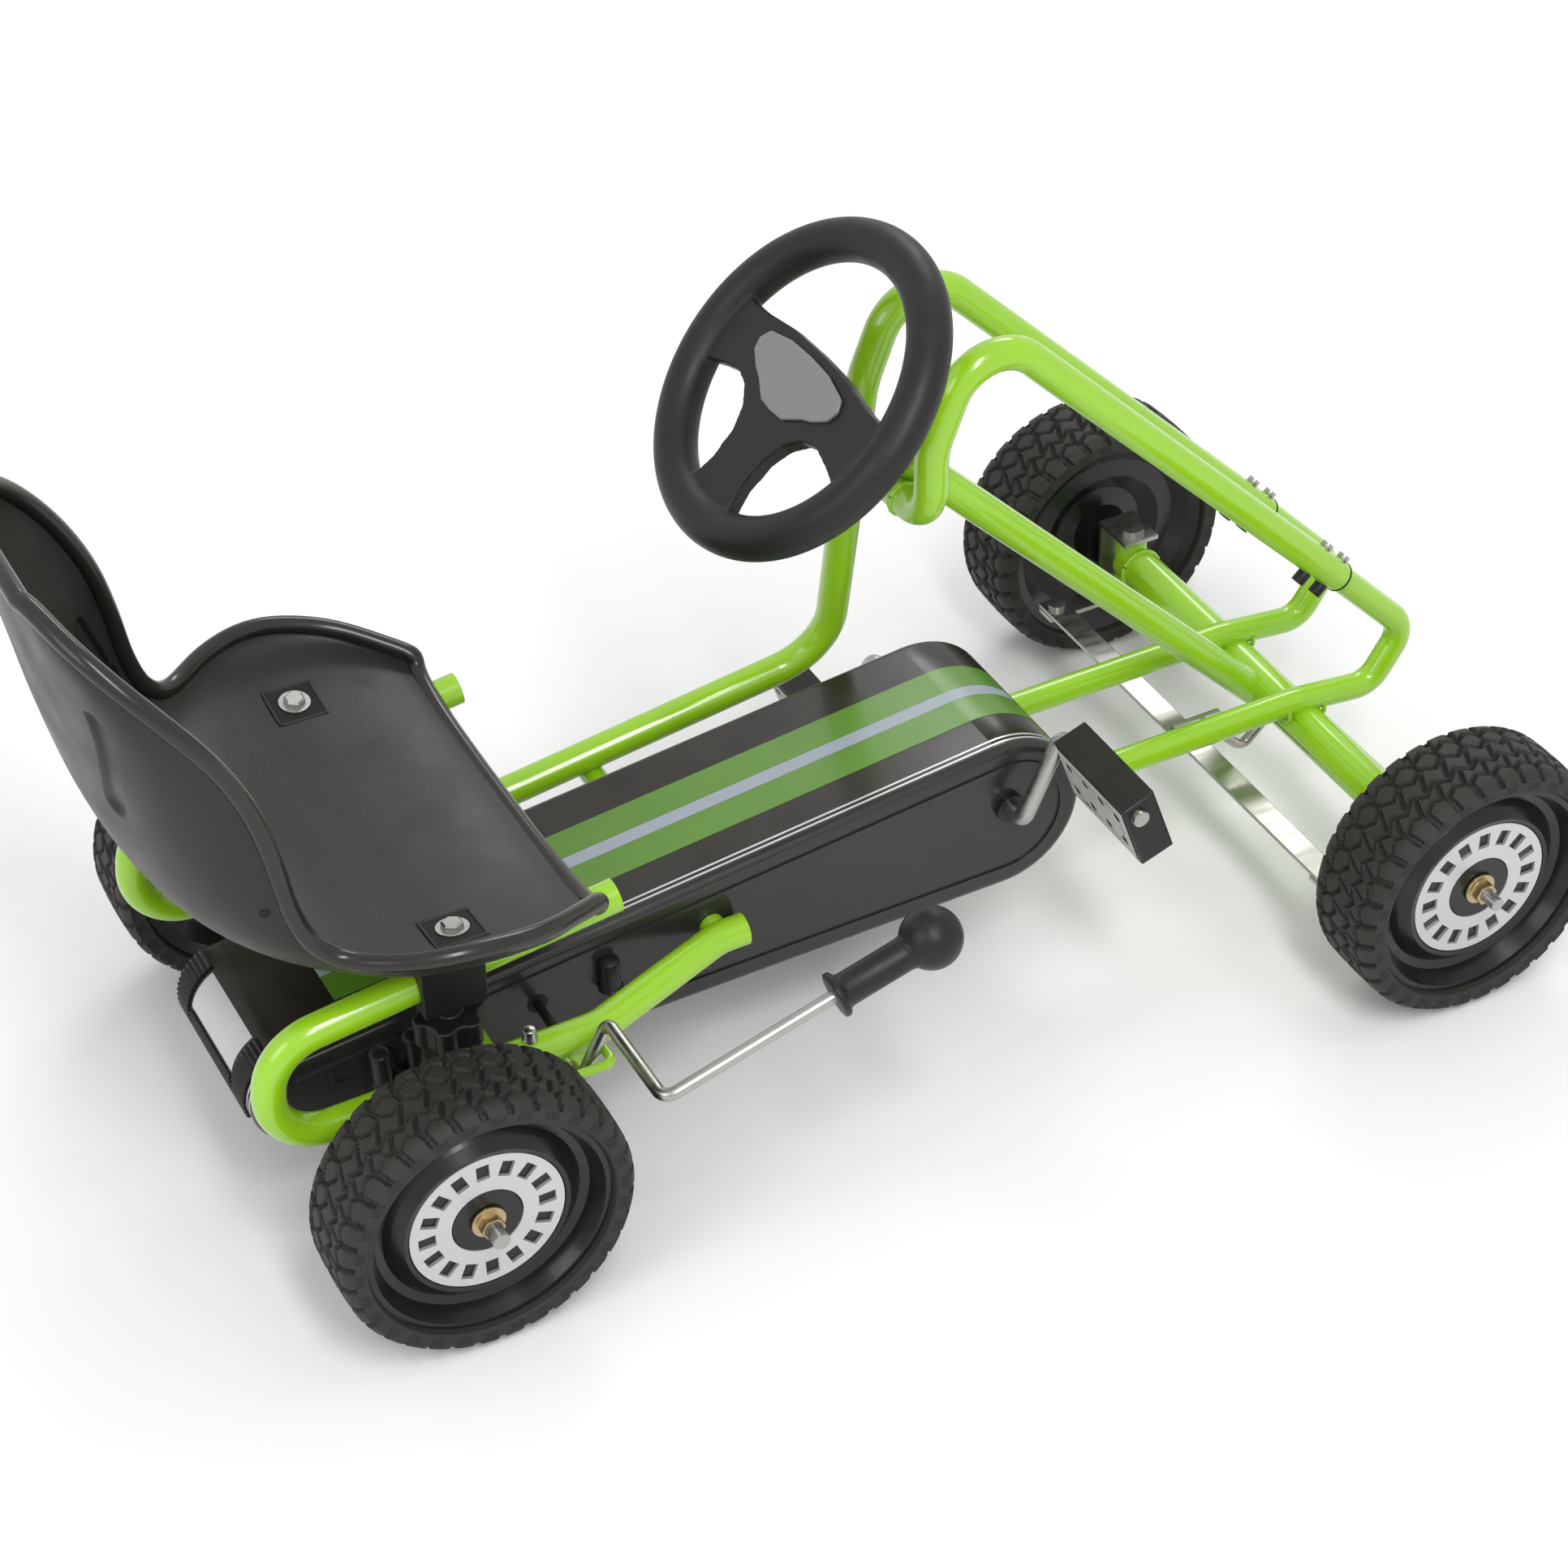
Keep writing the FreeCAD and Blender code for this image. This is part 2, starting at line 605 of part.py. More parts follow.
def wheel_profile_rim(bore):
    """Half section of the moulded rim: flange, groove, convex ring, recess for the insert, hub."""
    half = TYRE_WIDTH / 2.0
    edge = half - 6.5
    seat = RING_OFFSET - RING_THICKNESS
    return [
        (bore, -HUB_HALF), (HUB_RADIUS, -HUB_HALF), (HUB_RADIUS + 4, -14), (38, -10), (52, -18), (66, -16),
        (RIM_RADIUS - 8, -edge + 4), (RIM_RADIUS, -edge), (RIM_RADIUS, edge), (RIM_RADIUS - 4, edge),
        (RIM_RADIUS - 10, 16), (RIM_RADIUS - 16, 14), (RIM_RADIUS - 20, 18), (RING_OUTER + 4, 24),
        (RING_OUTER + 1, RING_OFFSET), (RING_OUTER + 0.2, seat), (RING_INNER - 0.2, seat),
        (RING_INNER - 1, RING_OFFSET - 0.5), (bore, RING_OFFSET - 0.5),
    ]


def outward(shape, side):
    return shape if side > 0 else mirror_y(shape)


def insert_ring():
    """Flat ring with windows, around Y at the origin."""
    ring = revolve_y(
        [(RING_INNER, RING_OFFSET - RING_THICKNESS), (RING_OUTER, RING_OFFSET - RING_THICKNESS),
         (RING_OUTER, RING_OFFSET), (RING_INNER, RING_OFFSET)], V(0, 0, 0))
    window = Part.makeBox(9.0, 10.0, 12.0, V(-4.5, RING_OFFSET - 6, RING_OUTER - 18.0))
    windows = []
    for i in range(RING_WINDOWS):
        copy = window.copy()
        copy.rotate(V(0, 0, 0), V(0, 1, 0), 360.0 * i / RING_WINDOWS)
        windows.append(copy)
    return ring.cut(Part.makeCompound(windows))


def wheel_nut(x, side, wheel_y, bore):
    """Flanged nut outside the hub."""
    start = wheel_y + RING_OFFSET + GAP - 0.5
    flange = rod(V(0, start, 0), V(0, start + 2.5, 0), NUT_FLANGE_RADIUS)
    body = hex_prism(V(0, start + 2, 0), V(0, 1, 0), V(1, 0, 0), NUT_RADIUS, NUT_LENGTH - 2)
    nut = flange.fuse(body).cut(rod(V(0, start - 1, 0), V(0, start + 20, 0), bore))
    nut = outward(nut, side)
    nut.translate(at(x, 0, TYRE_RADIUS))
    return nut


def make_wheel(name, x, side, wheel_y, bore):
    parts = {
        "tyre": revolve_y(wheel_profile_tyre(), V(0, 0, 0)),
        "rim": revolve_y(wheel_profile_rim(bore), V(0, 0, 0)),
        "insert": insert_ring(),
    }
    for piece, shape in parts.items():
        placed = outward(shape, side)
        placed.translate(at(x, side * wheel_y, TYRE_RADIUS))
        save(piece + "_" + name, placed)


def make_wheels():
    make_wheel("front_left", WHEELBASE, 1, FRONT_WHEEL_Y, STUB_RADIUS + RUNNING)
    make_wheel("front_right", WHEELBASE, -1, FRONT_WHEEL_Y, STUB_RADIUS + RUNNING)
    make_wheel("rear_left", 0, 1, REAR_WHEEL_Y, AXLE_RADIUS)
    make_wheel("rear_right", 0, -1, REAR_WHEEL_Y, AXLE_RADIUS + RUNNING)


# ---------------------------------------------------------------- rear axle
def make_rear_brackets():
    """Plate under each lower rail: carries the axle bush and the rear cross tube."""
    plates = []
    bushes = []
    for side in (-1, 1):
        y = side * RAIL_Y
        low = TYRE_RADIUS - BRACKET_REACH + 4
        high = LOWER_RAIL_Z
        length = REAR_CROSS_X + 2 * BRACKET_REACH - 6
        centre = at(REAR_CROSS_X / 2.0, y, (low + high) / 2.0)
        plate = block(centre, (length, BRACKET_THICKNESS, high - low))
        rail = rear_loop_bar(side)
        hole = rod(at(0, y - 5, TYRE_RADIUS), at(0, y + 5, TYRE_RADIUS), BUSH_RADIUS)
        plates.append(plate.cut(rail).cut(hole))
        low_y = y - BUSH_LENGTH / 2.0
        high_y = y + BUSH_LENGTH / 2.0
        bushes.append(ring_y(0, low_y, high_y, TYRE_RADIUS, BUSH_RADIUS, AXLE_RADIUS + RUNNING))
    save("rear_axle_brackets", *plates)
    save("rear_axle_bushes", *bushes)


def make_rear_axle():
    end = REAR_WHEEL_Y + RING_OFFSET + NUT_LENGTH + STUD_LENGTH
    axle = rod(at(0, -end, TYRE_RADIUS), at(0, end, TYRE_RADIUS), AXLE_RADIUS)
    collars = []
    for side in (-1, 1):
        start = side * (RAIL_Y + BUSH_LENGTH / 2.0 + GAP)
        finish = side * (REAR_WHEEL_Y - HUB_HALF - GAP)
        collars.append(rod(at(0, start, TYRE_RADIUS), at(0, finish, TYRE_RADIUS), COLLAR_RADIUS))
    save("rear_axle_shaft", axle.fuse(collars))
    nuts = [wheel_nut(0, side, REAR_WHEEL_Y, AXLE_RADIUS) for side in (-1, 1)]
    save("rear_axle_nuts", *nuts)


# ---------------------------------------------------------------- drive
def pitch_radius(teeth):
    return CHAIN_PITCH / (2.0 * math.sin(math.pi / teeth))


def sprocket(x, z, teeth, bore):
    """Toothed plate; its tips stay between the chain's side plates."""
    root = pitch_radius(teeth) - ROLLER_RADIUS - 0.3
    tip = pitch_radius(teeth) + 2.2
    points = []
    for i in range(teeth):
        for share, radius in ((0.12, root), (0.32, tip), (0.68, tip), (0.88, root)):
            angle = 2 * math.pi * (i + share) / teeth
            y = CHAIN_Y - SPROCKET_THICKNESS / 2.0
            points.append(at(x + radius * math.cos(angle), y, z + radius * math.sin(angle)))
    plate = Part.Face(Part.makePolygon(points + points[:1])).extrude(V(0, SPROCKET_THICKNESS, 0))
    boss = rod(at(x, CHAIN_Y - 8, z), at(x, CHAIN_Y + 8, z), bore + 6)
    return plate.fuse(boss).cut(rod(at(x, CHAIN_Y - 20, z), at(x, CHAIN_Y + 20, z), bore))


def chain_lines():
    """Tangent points of the chain's upper and lower runs on the two pitch circles."""
    big = pitch_radius(CHAINRING_TEETH)
    small = pitch_radius(SPROCKET_TEETH)
    front = at(CRANK_X, 0, CRANK_Z)
    rear = at(0, 0, TYRE_RADIUS)
    span = front - rear
    base = math.atan2(span.z, span.x)
    flare = math.asin((big - small) / span.Length)
    runs = []
    for sign in (1, -1):
        angle = base + sign * (math.pi / 2.0 + flare)
        normal = V(math.cos(angle), 0, math.sin(angle))
        runs.append((rear + normal * small, front + normal * big, normal))
    return runs


def chain_band(offset, y0, y1):
    """Loop-shaped plate whose outline is offset from the pitch line."""
    runs = chain_lines()
    upper_rear, upper_front, upper_normal = runs[0]
    lower_rear, lower_front, lower_normal = runs[1]
    shift = V(0, y0, 0)
    a = upper_rear + upper_normal * offset + shift
    b = upper_front + upper_normal * offset + shift
    c = lower_front + lower_normal * offset + shift
    d = lower_rear + lower_normal * offset + shift
    nose = at(CRANK_X + pitch_radius(CHAINRING_TEETH) + offset, y0, CRANK_Z)
    heel = at(-pitch_radius(SPROCKET_TEETH) - offset, y0, TYRE_RADIUS)
    edges = [
        Part.LineSegment(a, b).toShape(), Part.Arc(b, nose, c).toShape(),
        Part.LineSegment(c, d).toShape(), Part.Arc(d, heel, a).toShape(),
    ]
    return Part.Face(Part.Wire(edges)).extrude(V(0, y1 - y0, 0))


def make_chain():
    """Side plates all round, and rollers along the two straight runs."""
    pieces = []
    for side in (-1, 1):
        y0 = CHAIN_Y + side * PLATE_GAP / 2.0
        y1 = y0 + side * PLATE_THICKNESS
        outer = chain_band(PLATE_HEIGHT / 2.0, y0, y1)
        pieces.append(outer.cut(chain_band(-PLATE_HEIGHT / 2.0, y0, y1)))
    for rear, front, normal in chain_lines():
        run = front - rear
        count = int(run.Length / CHAIN_PITCH) - 2
        direction = unit(run)
        start = (run.Length - (count - 1) * CHAIN_PITCH) / 2.0
        for i in range(count):
            middle = rear + direction * (start + i * CHAIN_PITCH) + V(0, CHAIN_Y, 0)
            half = V(0, PLATE_GAP / 2.0, 0)
            pieces.append(rod(middle - half, middle + half, ROLLER_RADIUS))
    save("drive_chain", *pieces)
    save("chainring", sprocket(CRANK_X, CRANK_Z, CHAINRING_TEETH, CRANK_RADIUS))
    save("axle_sprocket", sprocket(0, TYRE_RADIUS, SPROCKET_TEETH, AXLE_RADIUS))


def crank_offset(side):
    """Vector from the crank axle to a pedal axle; the right arm is up and leans forward."""
    angle = math.radians(CRANK_TILT)
    return V(math.sin(angle), 0, math.cos(angle)) * (CRANK_ARM * -side)


def arm_y(side):
    """Distance of a crank arm from the middle; the left arm clears the main tube's outer side."""
    if side < 0:
        return CRANK_ARM_RIGHT_Y
    return RISER_FOOT_Y + RAIL_RADIUS + CRANK_ARM_GAP + CRANK_RADIUS


def pedal_span(side):
    inner = arm_y(side) + CRANK_RADIUS + GAP + 1.0
    return inner, inner + PEDAL_WIDTH


def make_crank():
    centre = at(CRANK_X, 0, CRANK_Z)
    right = arm_y(-1)
    left = arm_y(1)
    points = [
        centre + crank_offset(-1) + V(0, -pedal_span(-1)[1] - 5, 0),
        centre + crank_offset(-1) + V(0, -right, 0),
        centre + V(0, -right, 0),
        centre + V(0, left, 0),
        centre + crank_offset(1) + V(0, left, 0),
        centre + crank_offset(1) + V(0, pedal_span(1)[1] + 5, 0),
    ]
    save("crank_rod", sweep(points, [CRANK_BEND] * 4, CRANK_RADIUS))
    bushes = []
    for side in (-1, 1):
        y0 = side * (CASE_HALF_WIDTH - 8)
        y1 = side * (CASE_HALF_WIDTH + 5)
        bushes.append(ring_y(CRANK_X, y0, y1, CRANK_Z, CRANK_RADIUS + 5, CRANK_RADIUS + RUNNING))
    save("crank_bushes", *bushes)


def make_pedal(side):
    """Block hung on its axle, leaning back; a perforated plate covers its rear face."""
    inner, outer = pedal_span(side)
    back = -PEDAL_AXLE_INSET
    front = PEDAL_THICKNESS - PEDAL_AXLE_INSET
    top = PEDAL_AXLE_DROP
    bottom = PEDAL_AXLE_DROP - PEDAL_LENGTH
    body = Part.makeBox(PEDAL_THICKNESS, PEDAL_WIDTH, PEDAL_LENGTH, V(back, inner, bottom))
    corners = [edge for edge in body.Edges if abs(edge.Vertexes[0].Y - edge.Vertexes[-1].Y) < 1e-6]
    body = body.makeFillet(3.0, corners)
    body = body.cut(rod(V(0, inner - 1, 0), V(0, outer + 1, 0), CRANK_RADIUS + RUNNING))
    plate = Part.makeBox(1.2, PEDAL_WIDTH - 10, PEDAL_LENGTH - 10, V(back - 1.3, inner + 5, bottom + 5))
    for row in (0, 1):
        for i in range(4):
            y = inner + 15 + i * (PEDAL_WIDTH - 30) / 3.0
            z = bottom + 16 + row * 24
            plate = plate.cut(rod(V(back - 3, y, z), V(back + 1, y, z), 4.0))
    centre = at(CRANK_X, 0, CRANK_Z) + crank_offset(side)
    name = "left" if side > 0 else "right"
    for node, shape in (("pedal_block_", body), ("pedal_plate_", plate)):
        placed = outward(shape, side)
        placed.rotate(V(0, 0, 0), V(0, 1, 0), -PEDAL_LEAN)
        placed.translate(centre)
        save(node + name, placed)


# ---------------------------------------------------------------- chain case
def case_radius(x):
    """Radius of the end of the case whose arc is centred at x, touching bottom and top."""
    height = CASE_TOP_AT_AXLE + CASE_SLOPE * x - CASE_BOTTOM
    slant = math.cos(math.atan(CASE_SLOPE))
    return height * slant / (1.0 + slant)


def case_outline(inset, y):
    """Closed outline of the case in side view, set in by a wall thickness."""
    slope = math.atan(CASE_SLOPE)
    normal = V(-math.sin(slope), 0, math.cos(slope))
    front_radius = case_radius(CASE_FRONT_X)
    rear_radius = case_radius(CASE_REAR_X)
    front = at(CASE_FRONT_X, y, CASE_BOTTOM + front_radius)
    rear = at(CASE_REAR_X, y, CASE_BOTTOM + rear_radius)
    big = front_radius - inset
    small = rear_radius - inset
    top_rear = rear + normal * small
    top_front = front + normal * big
    low_front = front - V(0, 0, big)
    low_rear = rear - V(0, 0, small)
    edges = [
        Part.LineSegment(top_rear, top_front).toShape(),
        Part.Arc(top_front, front + V(big, 0, 0), low_front).toShape(),
        Part.LineSegment(low_front, low_rear).toShape(),
        Part.Arc(low_rear, rear - V(small, 0, 0), top_rear).toShape(),
    ]
    return Part.Face(Part.Wire(edges))


def case_solid(inset, y0, y1):
    return case_outline(inset, y0).extrude(V(0, y1 - y0, 0))


def rounded_case():
    """Outer shape of the closed case, with its long edges rounded."""
    body = case_solid(0, -CASE_HALF_WIDTH, CASE_HALF_WIDTH)
    rims = [e for e in body.Edges if abs(abs(e.CenterOfMass.y) - CASE_HALF_WIDTH) < 0.1]
    return body.makeFillet(CASE_EDGE_RADIUS, rims)


def case_openings():
    """Holes for the crank bushes, axle, cross tubes and lower tubes."""
    far = CASE_HALF_WIDTH + 10
    hole = CROSS_TUBE_RADIUS + 0.2
    holes = [
        rod(at(CRANK_X, -far, CRANK_Z), at(CRANK_X, far, CRANK_Z), CRANK_RADIUS + 5),
        rod(at(0, -far, TYRE_RADIUS), at(0, far, TYRE_RADIUS), AXLE_RADIUS + 2),
        rod(at(REAR_CROSS_X, -far, REAR_CROSS_Z), at(REAR_CROSS_X, far, REAR_CROSS_Z), hole),
        rod(at(CROSS_TUBE_X, -far, CROSS_TUBE_Z), at(CROSS_TUBE_X, far, CROSS_TUBE_Z), hole),
    ]
    for y in (-LOOP_Y, LOOP_Y):
        start = at(CASE_FRONT_X, y, LOWER_TUBE_Z)
        holes.append(rod(start, at(CASE_FRONT_X + 80, y, LOWER_TUBE_Z), LOWER_TUBE_RADIUS + 0.2))
    return holes


def make_chain_case():
    """Tray with the left wall, and the side cover that closes it on the right."""
    inner_half = CASE_HALF_WIDTH - CASE_WALL
    shell = rounded_case().cut(case_solid(CASE_WALL, -inner_half, inner_half))
    shell = shell.cut(Part.makeCompound(case_openings()))
    split = -CASE_HALF_WIDTH + COVER_DEPTH
    room = Part.makeBox(900, 2 * CASE_HALF_WIDTH, 400, at(-200, split, 0))
    save("chain_case_body", shell.common(room))
    cover = shell.cut(room)
    rib = case_solid(14, -CASE_HALF_WIDTH - 1.5, -CASE_HALF_WIDTH + 0.5)
    rib = rib.cut(case_solid(18, -CASE_HALF_WIDTH - 3, -CASE_HALF_WIDTH + 1))
    save("chain_case_cover", cover.fuse(rib))


def make_case_trim():
    """Bright seam lines, top stripes, blank label and the ribbed rear grips."""
    lines = []
    for y in (-CASE_HALF_WIDTH + CASE_EDGE_RADIUS + 1, -CASE_HALF_WIDTH + CASE_EDGE_RADIUS + 1 + SEAM_PITCH):
        line = case_solid(-FILM, y, y + SEAM_WIDTH).cut(case_solid(0, y - 1, y + SEAM_WIDTH + 1))
        top = Part.makeBox(900, 300, 300, at(-200, -150, TYRE_RADIUS))
        lines.append(line.common(top))
    save("case_seam_lines", *lines)
    save("case_stripes_green", *[top_film(y0, y1) for y0, y1 in
                                 ((-STRIPE_OUTER, -STRIPE_INNER), (STRIPE_INNER, STRIPE_OUTER))])
    save("case_stripe_grey", top_film(-STRIPE_INNER + 0.2, STRIPE_INNER - 0.2))


def top_film(y0, y1):
    """A thin film on the case's top, from under the seat to the top of the nose."""
    film = case_solid(-FILM, y0, y1).cut(case_solid(0, y0 - 1, y1 + 1))
    window = Part.makeBox(CASE_FRONT_X + 45 - STRIPE_REAR_X, 300, 300, at(STRIPE_REAR_X, -150, 140))
    return film.common(window)


# ---------------------------------------------------------------- seat
def seat_station(centre, rim, crown, lean):
    """Closed section of the shell, curved from its middle up to the rim on both sides."""
    down = V(-math.sin(math.radians(lean)), 0, -math.cos(math.radians(lean)))
    inner = []
    outer = []
    for i in range(-6, 7):
        share = i / 6.0
        lift = abs(share) ** crown
        y = rim[1] * math.sin(share * math.pi / 2.0)
        x = centre[0] + (rim[0] - centre[0]) * lift
        z = centre[1] + (rim[2] - centre[1]) * lift
        thickness = SEAT_SHELL * (1.0 - 0.5 * abs(share) ** 3)
        inner.append(at(x, y, z))
        outer.append(at(x, y + SEAT_SHELL * share ** 3, z) + down * thickness)
    top = Part.BSplineCurve()
    top.interpolate(inner)
    low = Part.BSplineCurve()
    low.interpolate(outer[::-1])
    first = Part.LineSegment(inner[-1], outer[-1]).toShape()
    second = Part.LineSegment(outer[0], inner[0]).toShape()
    return Part.Wire([top.toShape(), first, low.toShape(), second])


def seat_loft():
    """Bucket shell lofted from the front lip, through the pan and up the back."""
    wires = [seat_station(*station) for station in SEAT_STATIONS]
    return Part.makeLoft(wires, True, False, False, SEAT_LOFT_DEGREE)


def make_seat():
    """Seat shell with a clear channel over each seat rail."""
    shell = seat_loft()
    for y in (-RAIL_Y, RAIL_Y):
        start = at(SEAT_RAIL_REAR[0] - 200, y, rail_z(SEAT_RAIL_REAR[0] - 200))
        end = at(SEAT_RAIL_FRONT[0] + 60, y, rail_z(SEAT_RAIL_FRONT[0] + 60))
        shell = shell.cut(rod(start, end, RAIL_RADIUS + SEAT_CLEARANCE))
    save("seat_shell", shell)


def make_saddles():
    """Saddle blocks that ride on the seat rails, their bolts, and the clamp knobs below."""
    saddles = []
    for side, name in ((1, "left"), (-1, "right")):
        y = side * RAIL_Y
        z = rail_z(SADDLE_X)
        low = z - RAIL_RADIUS - SADDLE_FLOOR
        saddle = block(at(SADDLE_X, y, (low + SADDLE_TOP) / 2.0), (SADDLE_LENGTH, SADDLE_WIDTH, SADDLE_TOP - low))
        start = at(SADDLE_X - 60, y, rail_z(SADDLE_X - 60))
        end = at(SADDLE_X + 60, y, rail_z(SADDLE_X + 60))
        screw_low = at(SADDLE_X, y, low - KNOB_STEM - KNOB_THICKNESS + 4)
        screw_high = at(SADDLE_X, y, z - RAIL_RADIUS - 0.6)
        screw = rod(screw_low, screw_high, SCREW_RADIUS)
        saddle = saddle.cut(rod(start, end, RAIL_RADIUS + SADDLE_FIT))
        saddle = saddle.cut(rod(screw_low, at(SADDLE_X, y, z), SCREW_RADIUS + RUNNING))
        saddles.append(saddle.cut(seat_loft()))
        save("clamp_knob_" + name, knob(at(SADDLE_X, y, low - GAP), screw))
    save("seat_saddles", *saddles)


def knob(top, screw):
    """Star knob hung under its saddle, on a threaded stem."""
    stem = rod(top - V(0, 0, KNOB_STEM), top, 9.0)
    disc_top = top - V(0, 0, KNOB_STEM - 1)
    disc = rod(disc_top - V(0, 0, KNOB_THICKNESS), disc_top, KNOB_RADIUS - 5)
    lobes = []
    for i in range(KNOB_LOBES):
        angle = 2 * math.pi * i / KNOB_LOBES
        offset = V(math.cos(angle), math.sin(angle), 0) * (KNOB_RADIUS - 7)
        lobes.append(rod(disc_top + offset - V(0, 0, KNOB_THICKNESS), disc_top + offset, 7.0))
    return disc.fuse(lobes + [stem, screw])


# ---------------------------------------------------------------- brake
def make_brake():
    px, pz = LEVER_PIVOT
    kx, kz = LEVER_KNEE
    gx, gz = GRIP_START
    points = [
        at(px, -108, pz), at(px, -LEVER_PIVOT_Y, pz), at(kx, -LEVER_PIVOT_Y, kz),
        at(kx, -LEVER_OUTER_Y, kz), at(gx, -LEVER_OUTER_Y, gz),
    ]
    lever = sweep(points, [8, 8, 9], LEVER_RADIUS)
    direction = unit(points[4] - points[3])
    start = points[4]
    end = start + direction * GRIP_LENGTH
    grip = rod(start + direction * 0.05, end, GRIP_RADIUS)
    flange = rod(start + direction * 0.05, start + direction * 6, GRIP_RADIUS + 3.5)
    ball = Part.makeSphere(BALL_RADIUS, end + direction * (BALL_RADIUS - 6))
    save("brake_lever_rod", lever)
    save("brake_lever_grip", grip.fuse([flange, ball]))
    eye = block(at(px, -RAIL_Y, (pz + LOWER_RAIL_Z) / 2.0 - 5), (24, 12, LOWER_RAIL_Z - pz + 10))
    rail = rod(at(-60, -RAIL_Y, LOWER_RAIL_Z), at(128, -RAIL_Y, LOWER_RAIL_Z), RAIL_RADIUS)
    eye = eye.cut(rail).cut(rod(at(px, -140, pz), at(px, -110, pz), LEVER_RADIUS + RUNNING))
    loop = [
        at(124, -RAIL_Y, 126), at(124, -159, 126), at(84, -159, 126), at(84, -RAIL_Y, 126),
    ]
    save("brake_bracket", eye, sweep(loop, [7, 7], 3.5).cut(rail))


def main():
    os.makedirs("parts", exist_ok=True)
    make_rear_loops()
    make_left_main_tube()
    make_right_main_tube()
    make_bumper_tubes()
    make_cross_tubes()
    make_joint_bolts()
    make_front_beam()
    make_column_tube()
    make_steering_shaft()
    make_steering_wheel()
    make_knuckle(1)
    make_knuckle(-1)
    make_tie_rod()
    make_wheels()
    make_rear_brackets()
    make_rear_axle()
    make_chain()
    make_crank()
    make_pedal(-1)
    make_pedal(1)
    make_chain_case()
    make_case_trim()
    make_seat()
    make_saddles()
    make_brake()


main()
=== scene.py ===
import bpy
import json
import math
import random
import numpy as np
from mathutils import Matrix, Vector

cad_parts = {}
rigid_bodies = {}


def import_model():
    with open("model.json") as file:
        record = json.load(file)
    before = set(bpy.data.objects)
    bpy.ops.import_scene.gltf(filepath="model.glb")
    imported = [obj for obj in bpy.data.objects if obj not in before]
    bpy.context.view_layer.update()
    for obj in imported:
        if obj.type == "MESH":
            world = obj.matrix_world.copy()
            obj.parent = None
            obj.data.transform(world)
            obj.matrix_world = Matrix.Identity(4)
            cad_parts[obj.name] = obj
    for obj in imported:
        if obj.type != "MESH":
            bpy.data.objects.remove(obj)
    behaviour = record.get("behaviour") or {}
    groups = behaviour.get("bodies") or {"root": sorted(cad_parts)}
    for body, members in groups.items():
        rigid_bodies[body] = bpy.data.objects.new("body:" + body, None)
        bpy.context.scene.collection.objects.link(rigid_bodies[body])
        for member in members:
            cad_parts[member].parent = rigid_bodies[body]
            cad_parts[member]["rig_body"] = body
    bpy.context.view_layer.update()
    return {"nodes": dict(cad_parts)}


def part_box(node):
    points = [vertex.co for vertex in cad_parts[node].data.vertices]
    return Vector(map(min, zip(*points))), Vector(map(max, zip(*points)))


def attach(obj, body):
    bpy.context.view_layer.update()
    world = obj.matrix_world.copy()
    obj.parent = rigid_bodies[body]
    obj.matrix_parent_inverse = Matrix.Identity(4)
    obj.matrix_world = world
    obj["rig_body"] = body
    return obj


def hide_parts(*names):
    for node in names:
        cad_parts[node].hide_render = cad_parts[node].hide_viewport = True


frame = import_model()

# Pedal go kart. Metres, in the CAD frame: +X forward, +Y the driver's left, +Z up.
# Stations written in millimetres from the rear axle go through at().

NODES = frame["nodes"]
AXLE_LOW, AXLE_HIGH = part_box("rear_axle_shaft")
REAR_X = (AXLE_LOW.x + AXLE_HIGH.x) / 2.0
random.seed(7)


def at(x, y, z):
    """A point given in millimetres, with x measured from the rear axle."""
    return Vector((REAR_X + x / 1000.0, y / 1000.0, z / 1000.0))


